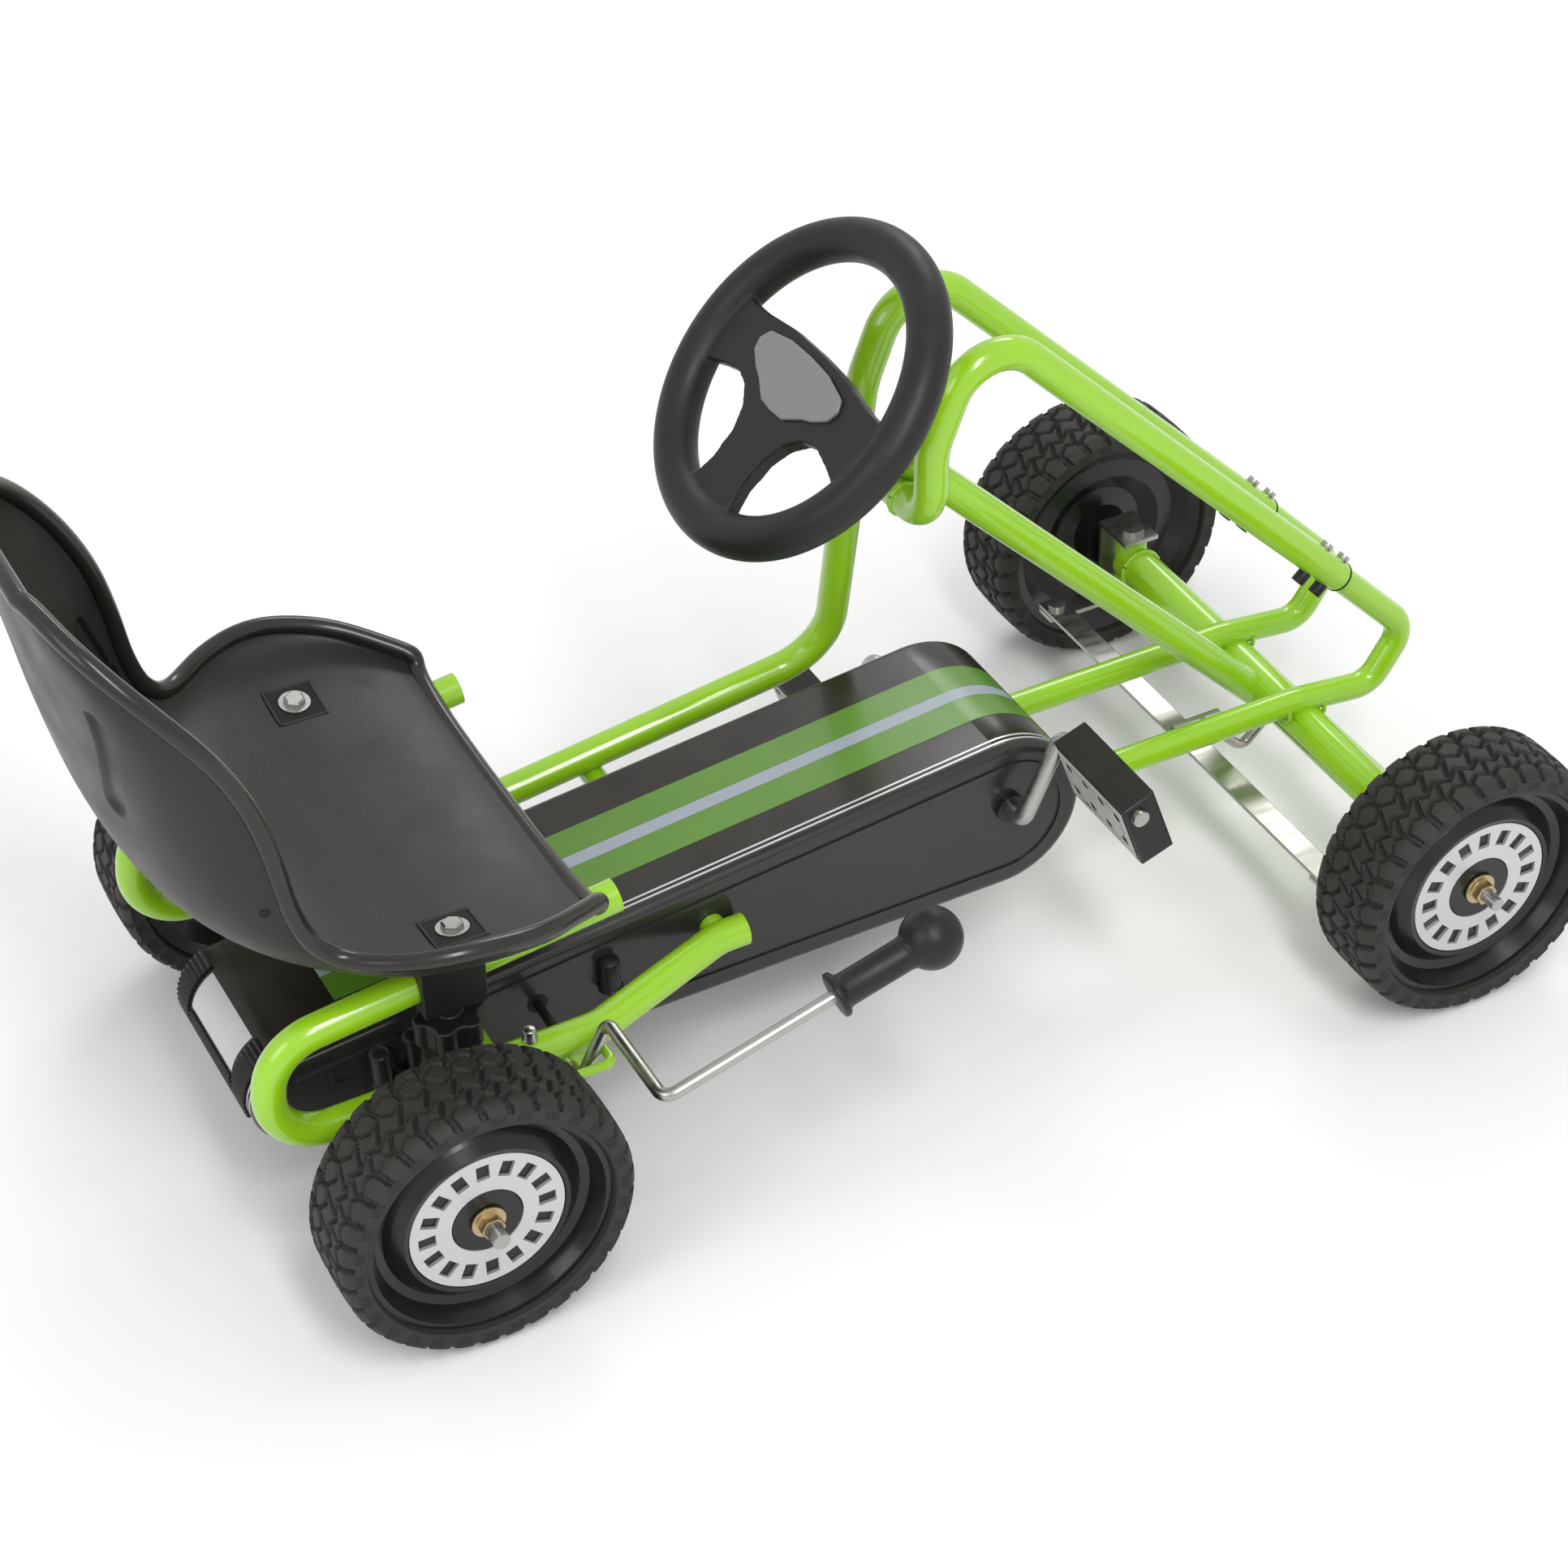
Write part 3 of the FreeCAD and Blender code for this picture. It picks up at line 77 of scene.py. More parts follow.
# ---------------------------------------------------------------- materials
def surface(name, color, rough, metal=0.0, coat=0.0, tint=0.14, tint_scale=45.0, rough_spread=0.06,
            bump=0.2, bump_scale=1100.0, depth=0.0002, stretch=(1.0, 1.0, 1.0), sheen=0.0, specular=0.5):
    """A procedural finish: mottled colour, uneven gloss and a fine surface texture."""
    material = bpy.data.materials.new(name)
    material.use_nodes = True
    nodes = material.node_tree.nodes
    link = material.node_tree.links.new
    shader = nodes["Principled BSDF"]
    shader.inputs["Metallic"].default_value = metal
    shader.inputs["Coat Weight"].default_value = coat
    shader.inputs["Coat Roughness"].default_value = 0.08
    shader.inputs["Sheen Weight"].default_value = sheen
    shader.inputs["Specular IOR Level"].default_value = specular
    coords = nodes.new("ShaderNodeTexCoord")
    mapping = nodes.new("ShaderNodeMapping")
    mapping.inputs["Scale"].default_value = stretch
    link(coords.outputs["Object"], mapping.inputs["Vector"])
    clouds = nodes.new("ShaderNodeTexNoise")
    clouds.inputs["Scale"].default_value = tint_scale
    clouds.inputs["Detail"].default_value = 5.0
    link(mapping.outputs["Vector"], clouds.inputs["Vector"])
    mix = nodes.new("ShaderNodeMix")
    mix.data_type = "RGBA"
    mix.inputs[6].default_value = [c * (1.0 - tint) for c in color] + [1.0]
    mix.inputs[7].default_value = [min(1.0, c * (1.0 + tint)) for c in color] + [1.0]
    link(clouds.outputs["Fac"], mix.inputs[0])
    link(mix.outputs[2], shader.inputs["Base Color"])
    gloss = nodes.new("ShaderNodeMapRange")
    gloss.inputs["From Min"].default_value = 0.3
    gloss.inputs["From Max"].default_value = 0.7
    gloss.inputs["To Min"].default_value = max(0.02, rough - rough_spread)
    gloss.inputs["To Max"].default_value = rough + rough_spread
    link(clouds.outputs["Fac"], gloss.inputs["Value"])
    link(gloss.outputs["Result"], shader.inputs["Roughness"])
    grain = nodes.new("ShaderNodeTexNoise")
    grain.inputs["Scale"].default_value = bump_scale
    grain.inputs["Detail"].default_value = 3.0
    link(mapping.outputs["Vector"], grain.inputs["Vector"])
    relief = nodes.new("ShaderNodeBump")
    relief.inputs["Strength"].default_value = bump
    relief.inputs["Distance"].default_value = depth
    link(grain.outputs["Fac"], relief.inputs["Height"])
    link(relief.outputs["Normal"], shader.inputs["Normal"])
    return material


GREEN = surface("powder_coat_lime", (0.285, 0.560, 0.012), 0.24, coat=0.55, tint=0.05, tint_scale=9.0,
                rough_spread=0.04, bump=0.10, bump_scale=420.0)
TYRE = surface("tyre_foam_rubber", (0.024, 0.023, 0.020), 0.60, specular=0.32, tint=0.25,
               tint_scale=70.0, bump=0.35, bump_scale=1500.0)
# painted shade: a near-black finish laid into slits, holes, recesses and the sleeve step, standing for the
# shade inside them
PAINTED_SHADE = surface("painted_shade_dark", (0.006, 0.006, 0.006), 0.85, tint=0.2, bump=0.2)
RIM = surface("rim_gloss_black", (0.008, 0.008, 0.008), 0.26, coat=0.08, specular=0.38, tint=0.15,
              tint_scale=25.0, bump=0.06, bump_scale=300.0)
SILVER = surface("insert_satin_silver", (0.56, 0.57, 0.58), 0.38, metal=0.55, tint=0.04,
                 tint_scale=60.0, bump=0.12)
SEAT = surface("seat_satin_black", (0.016, 0.0142, 0.0115), 0.42, specular=0.38, tint=0.16,
               tint_scale=22.0, rough_spread=0.07,
               bump=0.32, bump_scale=900.0, depth=0.0003)
SEAT_RIM = surface("seat_rim_gloss", (0.016, 0.0145, 0.012), 0.24, coat=0.12, specular=0.4, tint=0.15,
                   tint_scale=18.0, bump=0.08)
CASE = surface("case_satin_black", (0.017, 0.014, 0.010), 0.27, coat=0.05, specular=0.35, tint=0.18,
               tint_scale=14.0,
               rough_spread=0.08, bump=0.10, bump_scale=500.0)
CASE_SIDE = surface("case_side_black", (0.024, 0.024, 0.022), 0.25, coat=0.12, specular=0.38,
                    tint=0.15, tint_scale=10.0,
                    rough_spread=0.07, bump=0.10, bump_scale=400.0)
FILM_GREEN = surface("film_green", (0.085, 0.215, 0.014), 0.30, tint=0.08, tint_scale=18.0, bump=0.06)
FILM_GREY = surface("film_blue_grey", (0.285, 0.325, 0.38), 0.34, tint=0.06, tint_scale=30.0, bump=0.06)
# painted highlight: the silver on the case seam lines stands for the light caught along the ridge
SEAM_HIGHLIGHT = surface("seam_painted_highlight", (0.56, 0.57, 0.58), 0.28, metal=0.35, tint=0.10, tint_scale=60.0,
                    bump=0.10)
ZINC = surface("zinc_plate", (0.43, 0.42, 0.40), 0.33, metal=1.0, tint=0.12, tint_scale=120.0,
               rough_spread=0.09,
               bump=0.22, bump_scale=700.0, stretch=(0.25, 1.0, 1.0))
NUT = surface("zinc_yellow", (0.50, 0.40, 0.23), 0.33, metal=1.0, tint=0.2, tint_scale=220.0, bump=0.2)
BLACK = surface("moulded_black", (0.011, 0.0105, 0.010), 0.40, specular=0.35, tint=0.18,
                tint_scale=60.0, bump=0.28, bump_scale=1300.0)
MATT = surface("wheel_matt_black", (0.0105, 0.0100, 0.0092), 0.44, specular=0.36, tint=0.16,
               tint_scale=50.0, bump=0.35, bump_scale=1500.0)
PLATE = surface("pedal_plate_grey", (0.44, 0.43, 0.41), 0.46, tint=0.10, tint_scale=50.0, bump=0.3)
BADGE = surface("badge_silver_grey", (0.215, 0.215, 0.21), 0.38, metal=0.3, tint=0.05, tint_scale=40.0,
                bump=0.1)
LABEL = surface("label_grey_white", (0.50, 0.51, 0.50), 0.50, tint=0.05, tint_scale=80.0, bump=0.1)
CHAIN = surface("chain_oiled_steel", (0.17, 0.16, 0.15), 0.40, metal=1.0, tint=0.25, tint_scale=300.0)

NODE_FINISH = {
    GREEN: ["rear_loop_left", "rear_loop_right", "main_tube_left", "main_tube_right", "bumper_tube_left",
            "bumper_tube_right", "frame_cross_tubes", "front_axle_beam", "steering_column_tube",
            "rear_axle_brackets", "brake_bracket"],
    ZINC: ["brake_lever_rod", "crank_rod", "rear_axle_shaft", "steering_shaft", "tie_rod", "tie_rod_bolts",
           "kingpin_left", "kingpin_right", "steering_knuckle_left", "steering_knuckle_right", "joint_bolts"],
    NUT: ["front_nut_left", "front_nut_right", "rear_axle_nuts"],
    RIM: ["rim_front_left", "rim_front_right", "rim_rear_left", "rim_rear_right"],
    SILVER: ["insert_front_left", "insert_front_right", "insert_rear_left", "insert_rear_right"],
    TYRE: ["tyre_front_left", "tyre_front_right", "tyre_rear_left", "tyre_rear_right"],
    CASE: ["chain_case_body"],
    CASE_SIDE: ["chain_case_cover"],
    FILM_GREEN: ["case_stripes_green"],
    FILM_GREY: ["case_stripe_grey"],
    # painted highlight along the seam ridge
    SEAM_HIGHLIGHT: ["case_seam_lines"],
    CHAIN: ["axle_sprocket", "chainring", "drive_chain"],
    BLACK: ["crank_bushes", "rear_axle_bushes", "joint_bolt_caps", "pedal_block_left", "pedal_block_right",
            "seat_saddles", "clamp_knob_left", "clamp_knob_right", "brake_lever_grip"],
    PLATE: ["pedal_plate_left", "pedal_plate_right"],
    SEAT: ["seat_shell"],
    MATT: ["steering_wheel"],
    BADGE: ["steering_wheel_badge"],
}

for finish, names in NODE_FINISH.items():
    for node_name in names:
        slots = NODES[node_name].data.materials
        slots.clear()
        slots.append(finish)


# ---------------------------------------------------------------- mesh helpers
def piece(name, verts, faces, material, body, smooth_angle=40.0):
    """A mesh object in the row frame that rides on a body."""
    mesh = bpy.data.meshes.new(name)
    mesh.from_pydata([tuple(v) for v in verts], [], [tuple(f) for f in faces])
    mesh.update()
    return dress(bpy.data.objects.new(name, mesh), material, body, smooth_angle)


def dress(obj, material, body, smooth_angle=40.0):
    if obj.name not in bpy.context.scene.collection.objects:
        bpy.context.scene.collection.objects.link(obj)
    obj.data.materials.clear()
    obj.data.materials.append(material)
    if obj.type == "MESH":
        obj.data.shade_smooth()
        obj.data.set_sharp_from_angle(angle=math.radians(smooth_angle))
    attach(obj, body)
    return obj


def axes_for(direction):
    """Two unit vectors square to a direction."""
    direction = direction.normalized()
    helper = Vector((0, 0, 1)) if abs(direction.z) < 0.9 else Vector((1, 0, 0))
    side = direction.cross(helper).normalized()
    return side, direction.cross(side).normalized()


def lathe(profile, base, axis, steps=48):
    """Vertices and faces of (height, radius) points turned about an axis."""
    axis = axis.normalized()
    side, other = axes_for(axis)
    verts = []
    for i in range(steps):
        angle = 2.0 * math.pi * i / steps
        spoke = side * math.cos(angle) + other * math.sin(angle)
        for height, radius in profile:
            verts.append(base + axis * height + spoke * radius)
    count = len(profile)
    faces = []
    for i in range(steps):
        k = (i + 1) % steps
        for j in range(count - 1):
            faces.append((i * count + j, i * count + j + 1, k * count + j + 1, k * count + j))
    return verts, faces


def ring_path(points, radius, closed=True, sides=10, bump=0.0):
    """Vertices and faces of a round bead along a path of points."""
    count = len(points)
    verts = []
    for i in range(count):
        before = points[(i - 1) % count] if closed or i > 0 else points[i]
        after = points[(i + 1) % count] if closed or i < count - 1 else points[i]
        side, other = axes_for(after - before)
        grow = radius * (1.0 + bump * random.uniform(-1.0, 1.0))
        for k in range(sides):
            angle = 2.0 * math.pi * k / sides
            verts.append(points[i] + side * (grow * math.cos(angle)) + other * (grow * math.sin(angle)))
    faces = []
    for i in range(count if closed else count - 1):
        j = (i + 1) % count
        for k in range(sides):
            m = (k + 1) % sides
            faces.append((i * sides + k, i * sides + m, j * sides + m, j * sides + k))
    if not closed:
        faces.append(tuple(range(sides)))
        faces.append(tuple((count - 1) * sides + k for k in reversed(range(sides))))
    return verts, faces


def joined(parts):
    """Several (verts, faces) sets as one."""
    verts, faces = [], []
    for some_verts, some_faces in parts:
        base = len(verts)
        verts += list(some_verts)
        faces += [tuple(base + i for i in face) for face in some_faces]
    return verts, faces


def prism(outline, lift, origin, u, v, w):
    """A flat outline of (a, b) points in the plane u, v, raised by lift along w."""
    count = len(outline)
    verts = [origin + u * a + v * b for a, b in outline]
    verts += [p + w * lift for p in verts]
    faces = [tuple(range(count))[::-1], tuple(range(count, 2 * count))]
    faces += [(i, (i + 1) % count, count + (i + 1) % count, count + i) for i in range(count)]
    return verts, faces


def bevelled(obj, width, segments=2, angle=35.0):
    """Weld the mesh's split edges and round its sharp ones."""
    weld = obj.modifiers.new("weld", "WELD")
    weld.merge_threshold = 0.00001
    bevel = obj.modifiers.new("round", "BEVEL")
    bevel.width = width
    bevel.segments = segments
    bevel.limit_method = "ANGLE"
    bevel.angle_limit = math.radians(angle)
    bevel.harden_normals = False
    return obj


# ---------------------------------------------------------------- tyres
TYRE_RADIUS = 102.5
BEAD_RADIUS = 84.9
TREAD_HALF = 31.0
SIDE_Y = 33.8
TREAD_BLOCKS = 34
TREAD_DEPTH = 3.4


def triangle_wave(s):
    return 4.0 * np.abs((s % 1.0) - 0.5) - 1.0


def groove(distance, half_width, edge=0.5):
    return np.clip((half_width + edge - np.abs(distance)) / (2.0 * edge), 0.0, 1.0)


def tread_cut(angle, y, row_shift):
    """How deep the tread is cut at an angle and a place across it, from 0 to 1."""
    s = angle * TREAD_BLOCKS / (2.0 * math.pi) + row_shift
    pitch = 2.0 * math.pi * TYRE_RADIUS / TREAD_BLOCKS
    zigzag = 3.4 * triangle_wave(s)
    inner = groove(np.abs(y) - 8.0 - np.sign(y) * zigzag, 1.5)
    outer = groove(np.abs(y) - 20.5 + np.sign(y) * zigzag * 0.8, 1.4)
    centre_line = ((s + 0.25 + 0.022 * y) % 1.0 - 0.5) * pitch
    middle_line = ((s + 0.75 - 0.020 * np.abs(y)) % 1.0 - 0.5) * pitch
    edge_line = ((s + 0.25 + 0.010 * np.abs(y)) % 1.0 - 0.5) * pitch
    across_centre = groove(centre_line, 1.4) * (np.abs(y) < 8.0)
    across_middle = groove(middle_line, 1.5) * (np.abs(y) >= 8.0) * (np.abs(y) < 20.5)
    across_edge = groove(edge_line, 2.3) * (np.abs(y) >= 20.5)
    return np.maximum.reduce([inner, outer, across_centre, across_middle, across_edge])


def tyre(name, side):
    """Tyre with a block tread, a flat sidewall with groups of slits, and the bead."""
    low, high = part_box("tyre_" + name)
    centre = (low + high) / 2.0
    steps = 612
    cross = [(-28.0, BEAD_RADIUS), (-SIDE_Y + 1.2, 86.0), (-SIDE_Y, 87.2), (-SIDE_Y, 95.2),
             (-SIDE_Y - 0.6, 96.6)]
    tread_rows = 46
    for i in range(tread_rows + 1):
        y = TREAD_HALF * (2.0 * i / tread_rows - 1.0) * 1.06
        crown = 1.2 * (y / TREAD_HALF) ** 2 + 3.4 * max(0.0, (abs(y) - 25.0) / 8.0) ** 2
        cross.append((y, TYRE_RADIUS - 0.1 - crown))
    cross += [(SIDE_Y + 0.6, 96.6), (SIDE_Y, 95.2), (SIDE_Y, 87.2), (SIDE_Y - 1.2, 86.0), (28.0, BEAD_RADIUS)]
    section = np.array(cross)
    count = len(section)
    angles = np.arange(steps) * 2.0 * math.pi / steps
    grid_angle, grid_y = np.meshgrid(angles, section[:, 0], indexing="ij")
    radii = np.tile(section[:, 1], (steps, 1))
    cut = tread_cut(grid_angle, grid_y, 0.0 if side > 0 else 0.5)
    in_tread = np.zeros(count, bool)
    in_tread[4:count - 4] = True
    radii = radii - cut * TREAD_DEPTH * in_tread
    edge_pull = (np.abs(grid_y) > 29.0) * cut * in_tread
    y_values = grid_y - np.sign(grid_y) * edge_pull * 1.8
    xs = centre.x + radii * np.cos(grid_angle) / 1000.0
    ys = centre.y + y_values / 1000.0
    zs = centre.z + radii * np.sin(grid_angle) / 1000.0
    verts = np.stack([xs, ys, zs], axis=-1).reshape(-1, 3)
    faces = []
    for i in range(steps):
        k = (i + 1) % steps
        for j in range(count - 1):
            faces.append((i * count + j, i * count + j + 1, k * count + j + 1, k * count + j))
        faces.append((i * count + count - 1, i * count, k * count, k * count + count - 1))
    body = NODES["tyre_" + name]["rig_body"]
    made = piece("tread_" + name, verts, faces, TYRE, body, 30.0)
    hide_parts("tyre_" + name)
    # painted shade: each sidewall slit is a thin near-black box laid on the sidewall, standing for the shade
    # inside the cut
    slits = []
    for way in (-1, 1):
        for group in range(30):
            for i in range(5):
                angle = 2.0 * math.pi * group / 30.0 + (i - 2) * 0.0225
                spoke = Vector((math.cos(angle), 0.0, math.sin(angle)))
                across = Vector((-math.sin(angle), 0.0, math.cos(angle)))
                origin = centre + spoke * 0.0885 + Vector((0, way * (SIDE_Y - 0.3) / 1000.0, 0))
                outline = [(0.0, -0.00042), (0.0064, -0.00042), (0.0064, 0.00042), (0.0, 0.00042)]
                slits.append(prism(outline, 0.00036, origin, spoke, across, Vector((0, way, 0))))
    verts, faces = joined(slits)
    piece("painted_slit_shade_" + name, verts, faces, PAINTED_SHADE, body)


for wheel_name, wheel_side in (("front_left", 1), ("front_right", -1), ("rear_left", 1), ("rear_right", -1)):
    tyre(wheel_name, wheel_side)


# ---------------------------------------------------------------- seat
SEAT_ROWS = [       # middle (x, z), rim (x, y, z) and how sharply the sides turn up
    (125, 239, 125, 148, 258, 2.4), (112, 248, 104, 163, 267, 2.5), (84, 254, 72, 182, 280, 2.7),
    (40, 257, 28, 190, 291, 2.8), (-5, 258, -12, 180, 290, 2.8), (-45, 260, -46, 156, 288, 2.6),
    (-82, 268, -66, 146, 305, 2.4), (-112, 286, -76, 144, 335, 2.3), (-134, 314, -81, 143, 370, 2.2),
    (-149, 352, -90, 141, 411, 2.1), (-160, 402, -106, 141, 449, 2.1), (-167, 448, -127, 137, 482, 2.0),
    (-173, 490, -148, 122, 508, 2.0), (-177, 520, -166, 98, 529, 2.0), (-179, 543, -179, 55, 543, 2.0),
]
SEAT_SKIN = 4.6
SEAT_BEAD = 6.4
SEAT_STEPS = (391, 301)


def seat_rows(steps):
    """The seat's rows, read smoothly between the stations."""
    table = np.array(SEAT_ROWS, float)
    last = len(table) - 1
    place = np.linspace(0.0, last, steps)
    index = np.minimum(place.astype(int), last - 1)
    f = (place - index)[:, None]
    p0 = table[np.maximum(index - 1, 0)]
    p1 = table[index]
    p2 = table[index + 1]
    p3 = table[np.minimum(index + 2, last)]
    square = 2 * p0 - 5 * p1 + 4 * p2 - p3
    cube = 3 * p1 - p0 - 3 * p2 + p3
    smooth = 2 * p1 + (p2 - p0) * f + square * f ** 2 + cube * f ** 3
    return place, 0.5 * smooth


def seat_grid():
    """Points of the seat's inner face and their normals, in millimetres from the rear axle."""
    place, rows = seat_rows(SEAT_STEPS[0])
    share = np.sin(np.linspace(-1.0, 1.0, SEAT_STEPS[1]) * math.pi / 2.0)
    turn = np.arcsin(share) * 2.0 / math.pi
    lift = np.abs(turn)[None, :] ** rows[:, 5:6]
    x = rows[:, 0:1] + (rows[:, 2:3] - rows[:, 0:1]) * lift
    z = rows[:, 1:2] + (rows[:, 4:5] - rows[:, 1:2]) * lift
    y = rows[:, 3:4] * share[None, :]
    points = np.stack([x, y, z], axis=-1)
    normal = np.cross(np.gradient(points, axis=0), np.gradient(points, axis=1))
    normal /= np.linalg.norm(normal, axis=2, keepdims=True) + 1e-9
    if normal[SEAT_STEPS[0] // 4, SEAT_STEPS[1] // 2, 2] < 0:
        normal = -normal
    return place, turn, points, normal


def dent(place, turn, start, end, half_width, soft):
    """A capsule between two (row, turn) places, 1 inside and 0 outside.

    A row counts as 50 mm and a whole turn as 180 mm.
    """
    px = place[:, None] * 50.0
    py = turn[None, :] * 180.0
    a = np.array([start[0] * 50.0, start[1] * 180.0])
    b = np.array([end[0] * 50.0, end[1] * 180.0])
    along = b - a
    t = np.clip(((px - a[0]) * along[0] + (py - a[1]) * along[1]) / max(1e-6, float(along @ along)), 0.0, 1.0)
    distance = np.hypot(px - a[0] - t * along[0], py - a[1] - t * along[1])
    return np.clip((half_width - distance) / soft + 0.5, 0.0, 1.0)


def make_seat():
    place, turn, points, normal = seat_grid()
    inner_dip = np.zeros(points.shape[:2])
    outer_dip = np.zeros(points.shape[:2])
    for side in (-1, 1):
        inner_dip += 3.6 * dent(place, turn, (7.45, side * 0.86), (8.55, side * 0.83), 5.0, 2.5)
        inner_dip += 2.2 * dent(place, turn, (6.2, side * 0.86), (7.2, side * 0.88), 4.5, 3.0)
        outer_dip += 3.2 * dent(place, turn, (9.9, side * 0.42), (11.6, side * 0.62), 8.0, 4.0)
    inner = points - normal * inner_dip[:, :, None]
    outer = points - normal * (SEAT_SKIN + 0.3 - outer_dip)[:, :, None]
    rows, cols = points.shape[:2]
    flat = np.concatenate([inner.reshape(-1, 3), outer.reshape(-1, 3)])
    verts = [at(*p) for p in flat]
    faces = []
    shift = rows * cols
    for i in range(rows - 1):
        for j in range(cols - 1):
            a = i * cols + j
            faces.append((a, a + 1, a + cols + 1, a + cols))
            faces.append((shift + a, shift + a + cols, shift + a + cols + 1, shift + a + 1))
    border = [j for j in range(cols)] + [i * cols + cols - 1 for i in range(1, rows)]
    border += [(rows - 1) * cols + j for j in range(cols - 2, -1, -1)]
    border += [i * cols for i in range(rows - 2, 0, -1)]
    for a, b in zip(border, border[1:] + border[:1]):
        faces.append((a, shift + a, shift + b, b))
    shell = piece("seat_moulding", verts, faces, SEAT, NODES["seat_shell"]["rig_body"], 60.0)
    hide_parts("seat_shell")
    middle = points - normal * (SEAT_SKIN / 2.0)
    path = [middle.reshape(-1, 3)[k] for k in border[::4]]
    path = np.array(path)
    for _ in range(6):
        path = (np.roll(path, 1, axis=0) + 2.0 * path + np.roll(path, -1, axis=0)) / 4.0
    verts, faces = ring_path([at(*p) for p in path], SEAT_BEAD / 1000.0, True, 20)
    piece("seat_rolled_rim", verts, faces, SEAT_RIM, NODES["seat_shell"]["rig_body"], 60.0)
    return place, turn, points, normal


def seat_spot(grid, row, side_turn):
    """The point and normal of the seat's inner face nearest a (row, turn) place."""
    place, turn, points, normal = grid
    i = int(np.argmin(np.abs(place - row)))
    j = int(np.argmin(np.abs(turn - side_turn)))
    return at(*points[i, j]), Vector(normal[i, j])


def hex_head(name, point, axis, width, height, material, body, washer=0.0):
    """A hexagon head with a chamfered crown, on a washer when one is given."""
    parts = []
    if washer:
        parts.append(lathe([(0.0, 0.0), (0.0, washer), (0.0012, washer), (0.0012, 0.0)], point, axis, 32))
    crown = [(0.0, 0.0), (0.0, width), (height * 0.8, width), (height, width * 0.82), (height, 0.0)]
    parts.append(lathe(crown, point, axis, 6))
    verts, faces = joined(parts)
    return piece(name, verts, faces, material, body, 25.0)


seat = make_seat()
SEAT_BODY = NODES["seat_shell"]["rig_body"]
for side, side_name in ((1, "left"), (-1, "right")):
    spot, face_normal = seat_spot(seat, 3.15, side * 0.50)
    u = (Vector((1, 0, 0)) - face_normal * face_normal.x).normalized()
    v = face_normal.cross(u).normalized()
    # painted shade: a thin near-black square under the bolt stands for the shade in its pocket
    frame_outer = [(-0.016, -0.016), (0.016, -0.016), (0.016, 0.016), (-0.016, 0.016)]
    verts, faces = prism(frame_outer, 0.0006, spot, u, v, face_normal)
    tray = piece("seat_bolt_seat_" + side_name, verts, faces, PAINTED_SHADE, SEAT_BODY, 30.0)
    bevelled(tray, 0.003, 3)
    corners = [(a * 17.0 / 1000.0, b * 17.0 / 1000.0) for a, b in ((-1, -1), (1, -1), (1, 1), (-1, 1))]
    ring = []
    for k in range(4):
        a, b = corners[k], corners[(k + 1) % 4]
        for step in range(6):
            f = step / 6.0
            ring.append(spot + u * (a[0] + (b[0] - a[0]) * f) + v * (a[1] + (b[1] - a[1]) * f))
    verts, faces = ring_path(ring, 0.0014, True, 8)
    piece("seat_bolt_lip_" + side_name, verts, faces, SEAT, SEAT_BODY, 60.0)
    hex_head("seat_bolt_" + side_name, spot + face_normal * 0.0006, face_normal, 0.0075, 0.0052,
             ZINC, SEAT_BODY, 0.011)
    spot, face_normal = seat_spot(seat, 7.4, side * 0.88)
    out = -face_normal
    # painted shade: a near-black disc on the seat's outer face stands for the dark inside the small hole
    disc = [(0.0, 0.0), (0.0, 0.0034), (0.0004, 0.0034), (0.0004, 0.0)]
    verts, faces = lathe(disc, spot + out * (SEAT_SKIN + 0.3) / 1000.0, out, 24)
    piece("seat_small_hole_" + side_name, verts, faces, PAINTED_SHADE, SEAT_BODY, 30.0)


# ---------------------------------------------------------------- moulded and formed edges
def remeshed(node_name, voxel, rounds):
    """Round every edge of a moulded part as its mould does."""
    obj = NODES[node_name]
    weld = obj.modifiers.new("weld", "WELD")
    weld.merge_threshold = 0.00001
    remesh = obj.modifiers.new("skin", "REMESH")
    remesh.mode = "VOXEL"
    remesh.voxel_size = voxel
    remesh.use_smooth_shade = True
    smooth = obj.modifiers.new("soften", "SMOOTH")
    smooth.factor = 0.6
    smooth.iterations = rounds


remeshed("steering_wheel", 0.0012, 9)
for name in ("clamp_knob_left", "clamp_knob_right"):
    remeshed(name, 0.0010, 6)
for name, width in (("seat_saddles", 0.002), ("pedal_block_left", 0.003), ("pedal_block_right", 0.003),
                    ("pedal_plate_left", 0.0008), ("pedal_plate_right", 0.0008),
                    ("steering_wheel_badge", 0.0012), ("chain_case_body", 0.002),
                    ("steering_knuckle_left", 0.001), ("steering_knuckle_right", 0.001),
                    ("joint_bolts", 0.0008), ("joint_bolt_caps", 0.0012), ("rear_axle_brackets", 0.001),
                    ("front_nut_left", 0.0007), ("front_nut_right", 0.0007), ("rear_axle_nuts", 0.0007),
                    ("tie_rod", 0.0008), ("front_axle_beam", 0.001)):
    bevelled(NODES[name], width)


# ---------------------------------------------------------------- brake grip
def make_grip():
    """Smooth hand grip with a flange and a ball end, along the lever's own end."""
    axis = Vector((0.9644, 0.0, 0.2644)).normalized()
    base = at(250, -232, 186)
    neck = 0.0117
    ball = 0.0215
    centre = 0.074
    profile = [(0.0, 0.0046), (0.0, 0.0150), (0.0006, 0.0160), (0.0034, 0.0160), (0.0044, 0.0150)]
    profile.append((0.0056, 0.0125))
    profile += [(0.0085, neck), (0.0300, neck), (0.0520, neck)]
    first = math.asin((neck + 0.0006) / ball)
    for i in range(25):
        angle = first + (math.pi - first) * i / 24.0
        profile.append((centre - ball * math.cos(angle), max(0.0, ball * math.sin(angle))))
    verts, faces = lathe(profile, base, axis, 56)
    grip = piece("lever_grip", verts, faces, BLACK, NODES["brake_lever_grip"]["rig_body"], 50.0)
    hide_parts("brake_lever_grip")


make_grip()


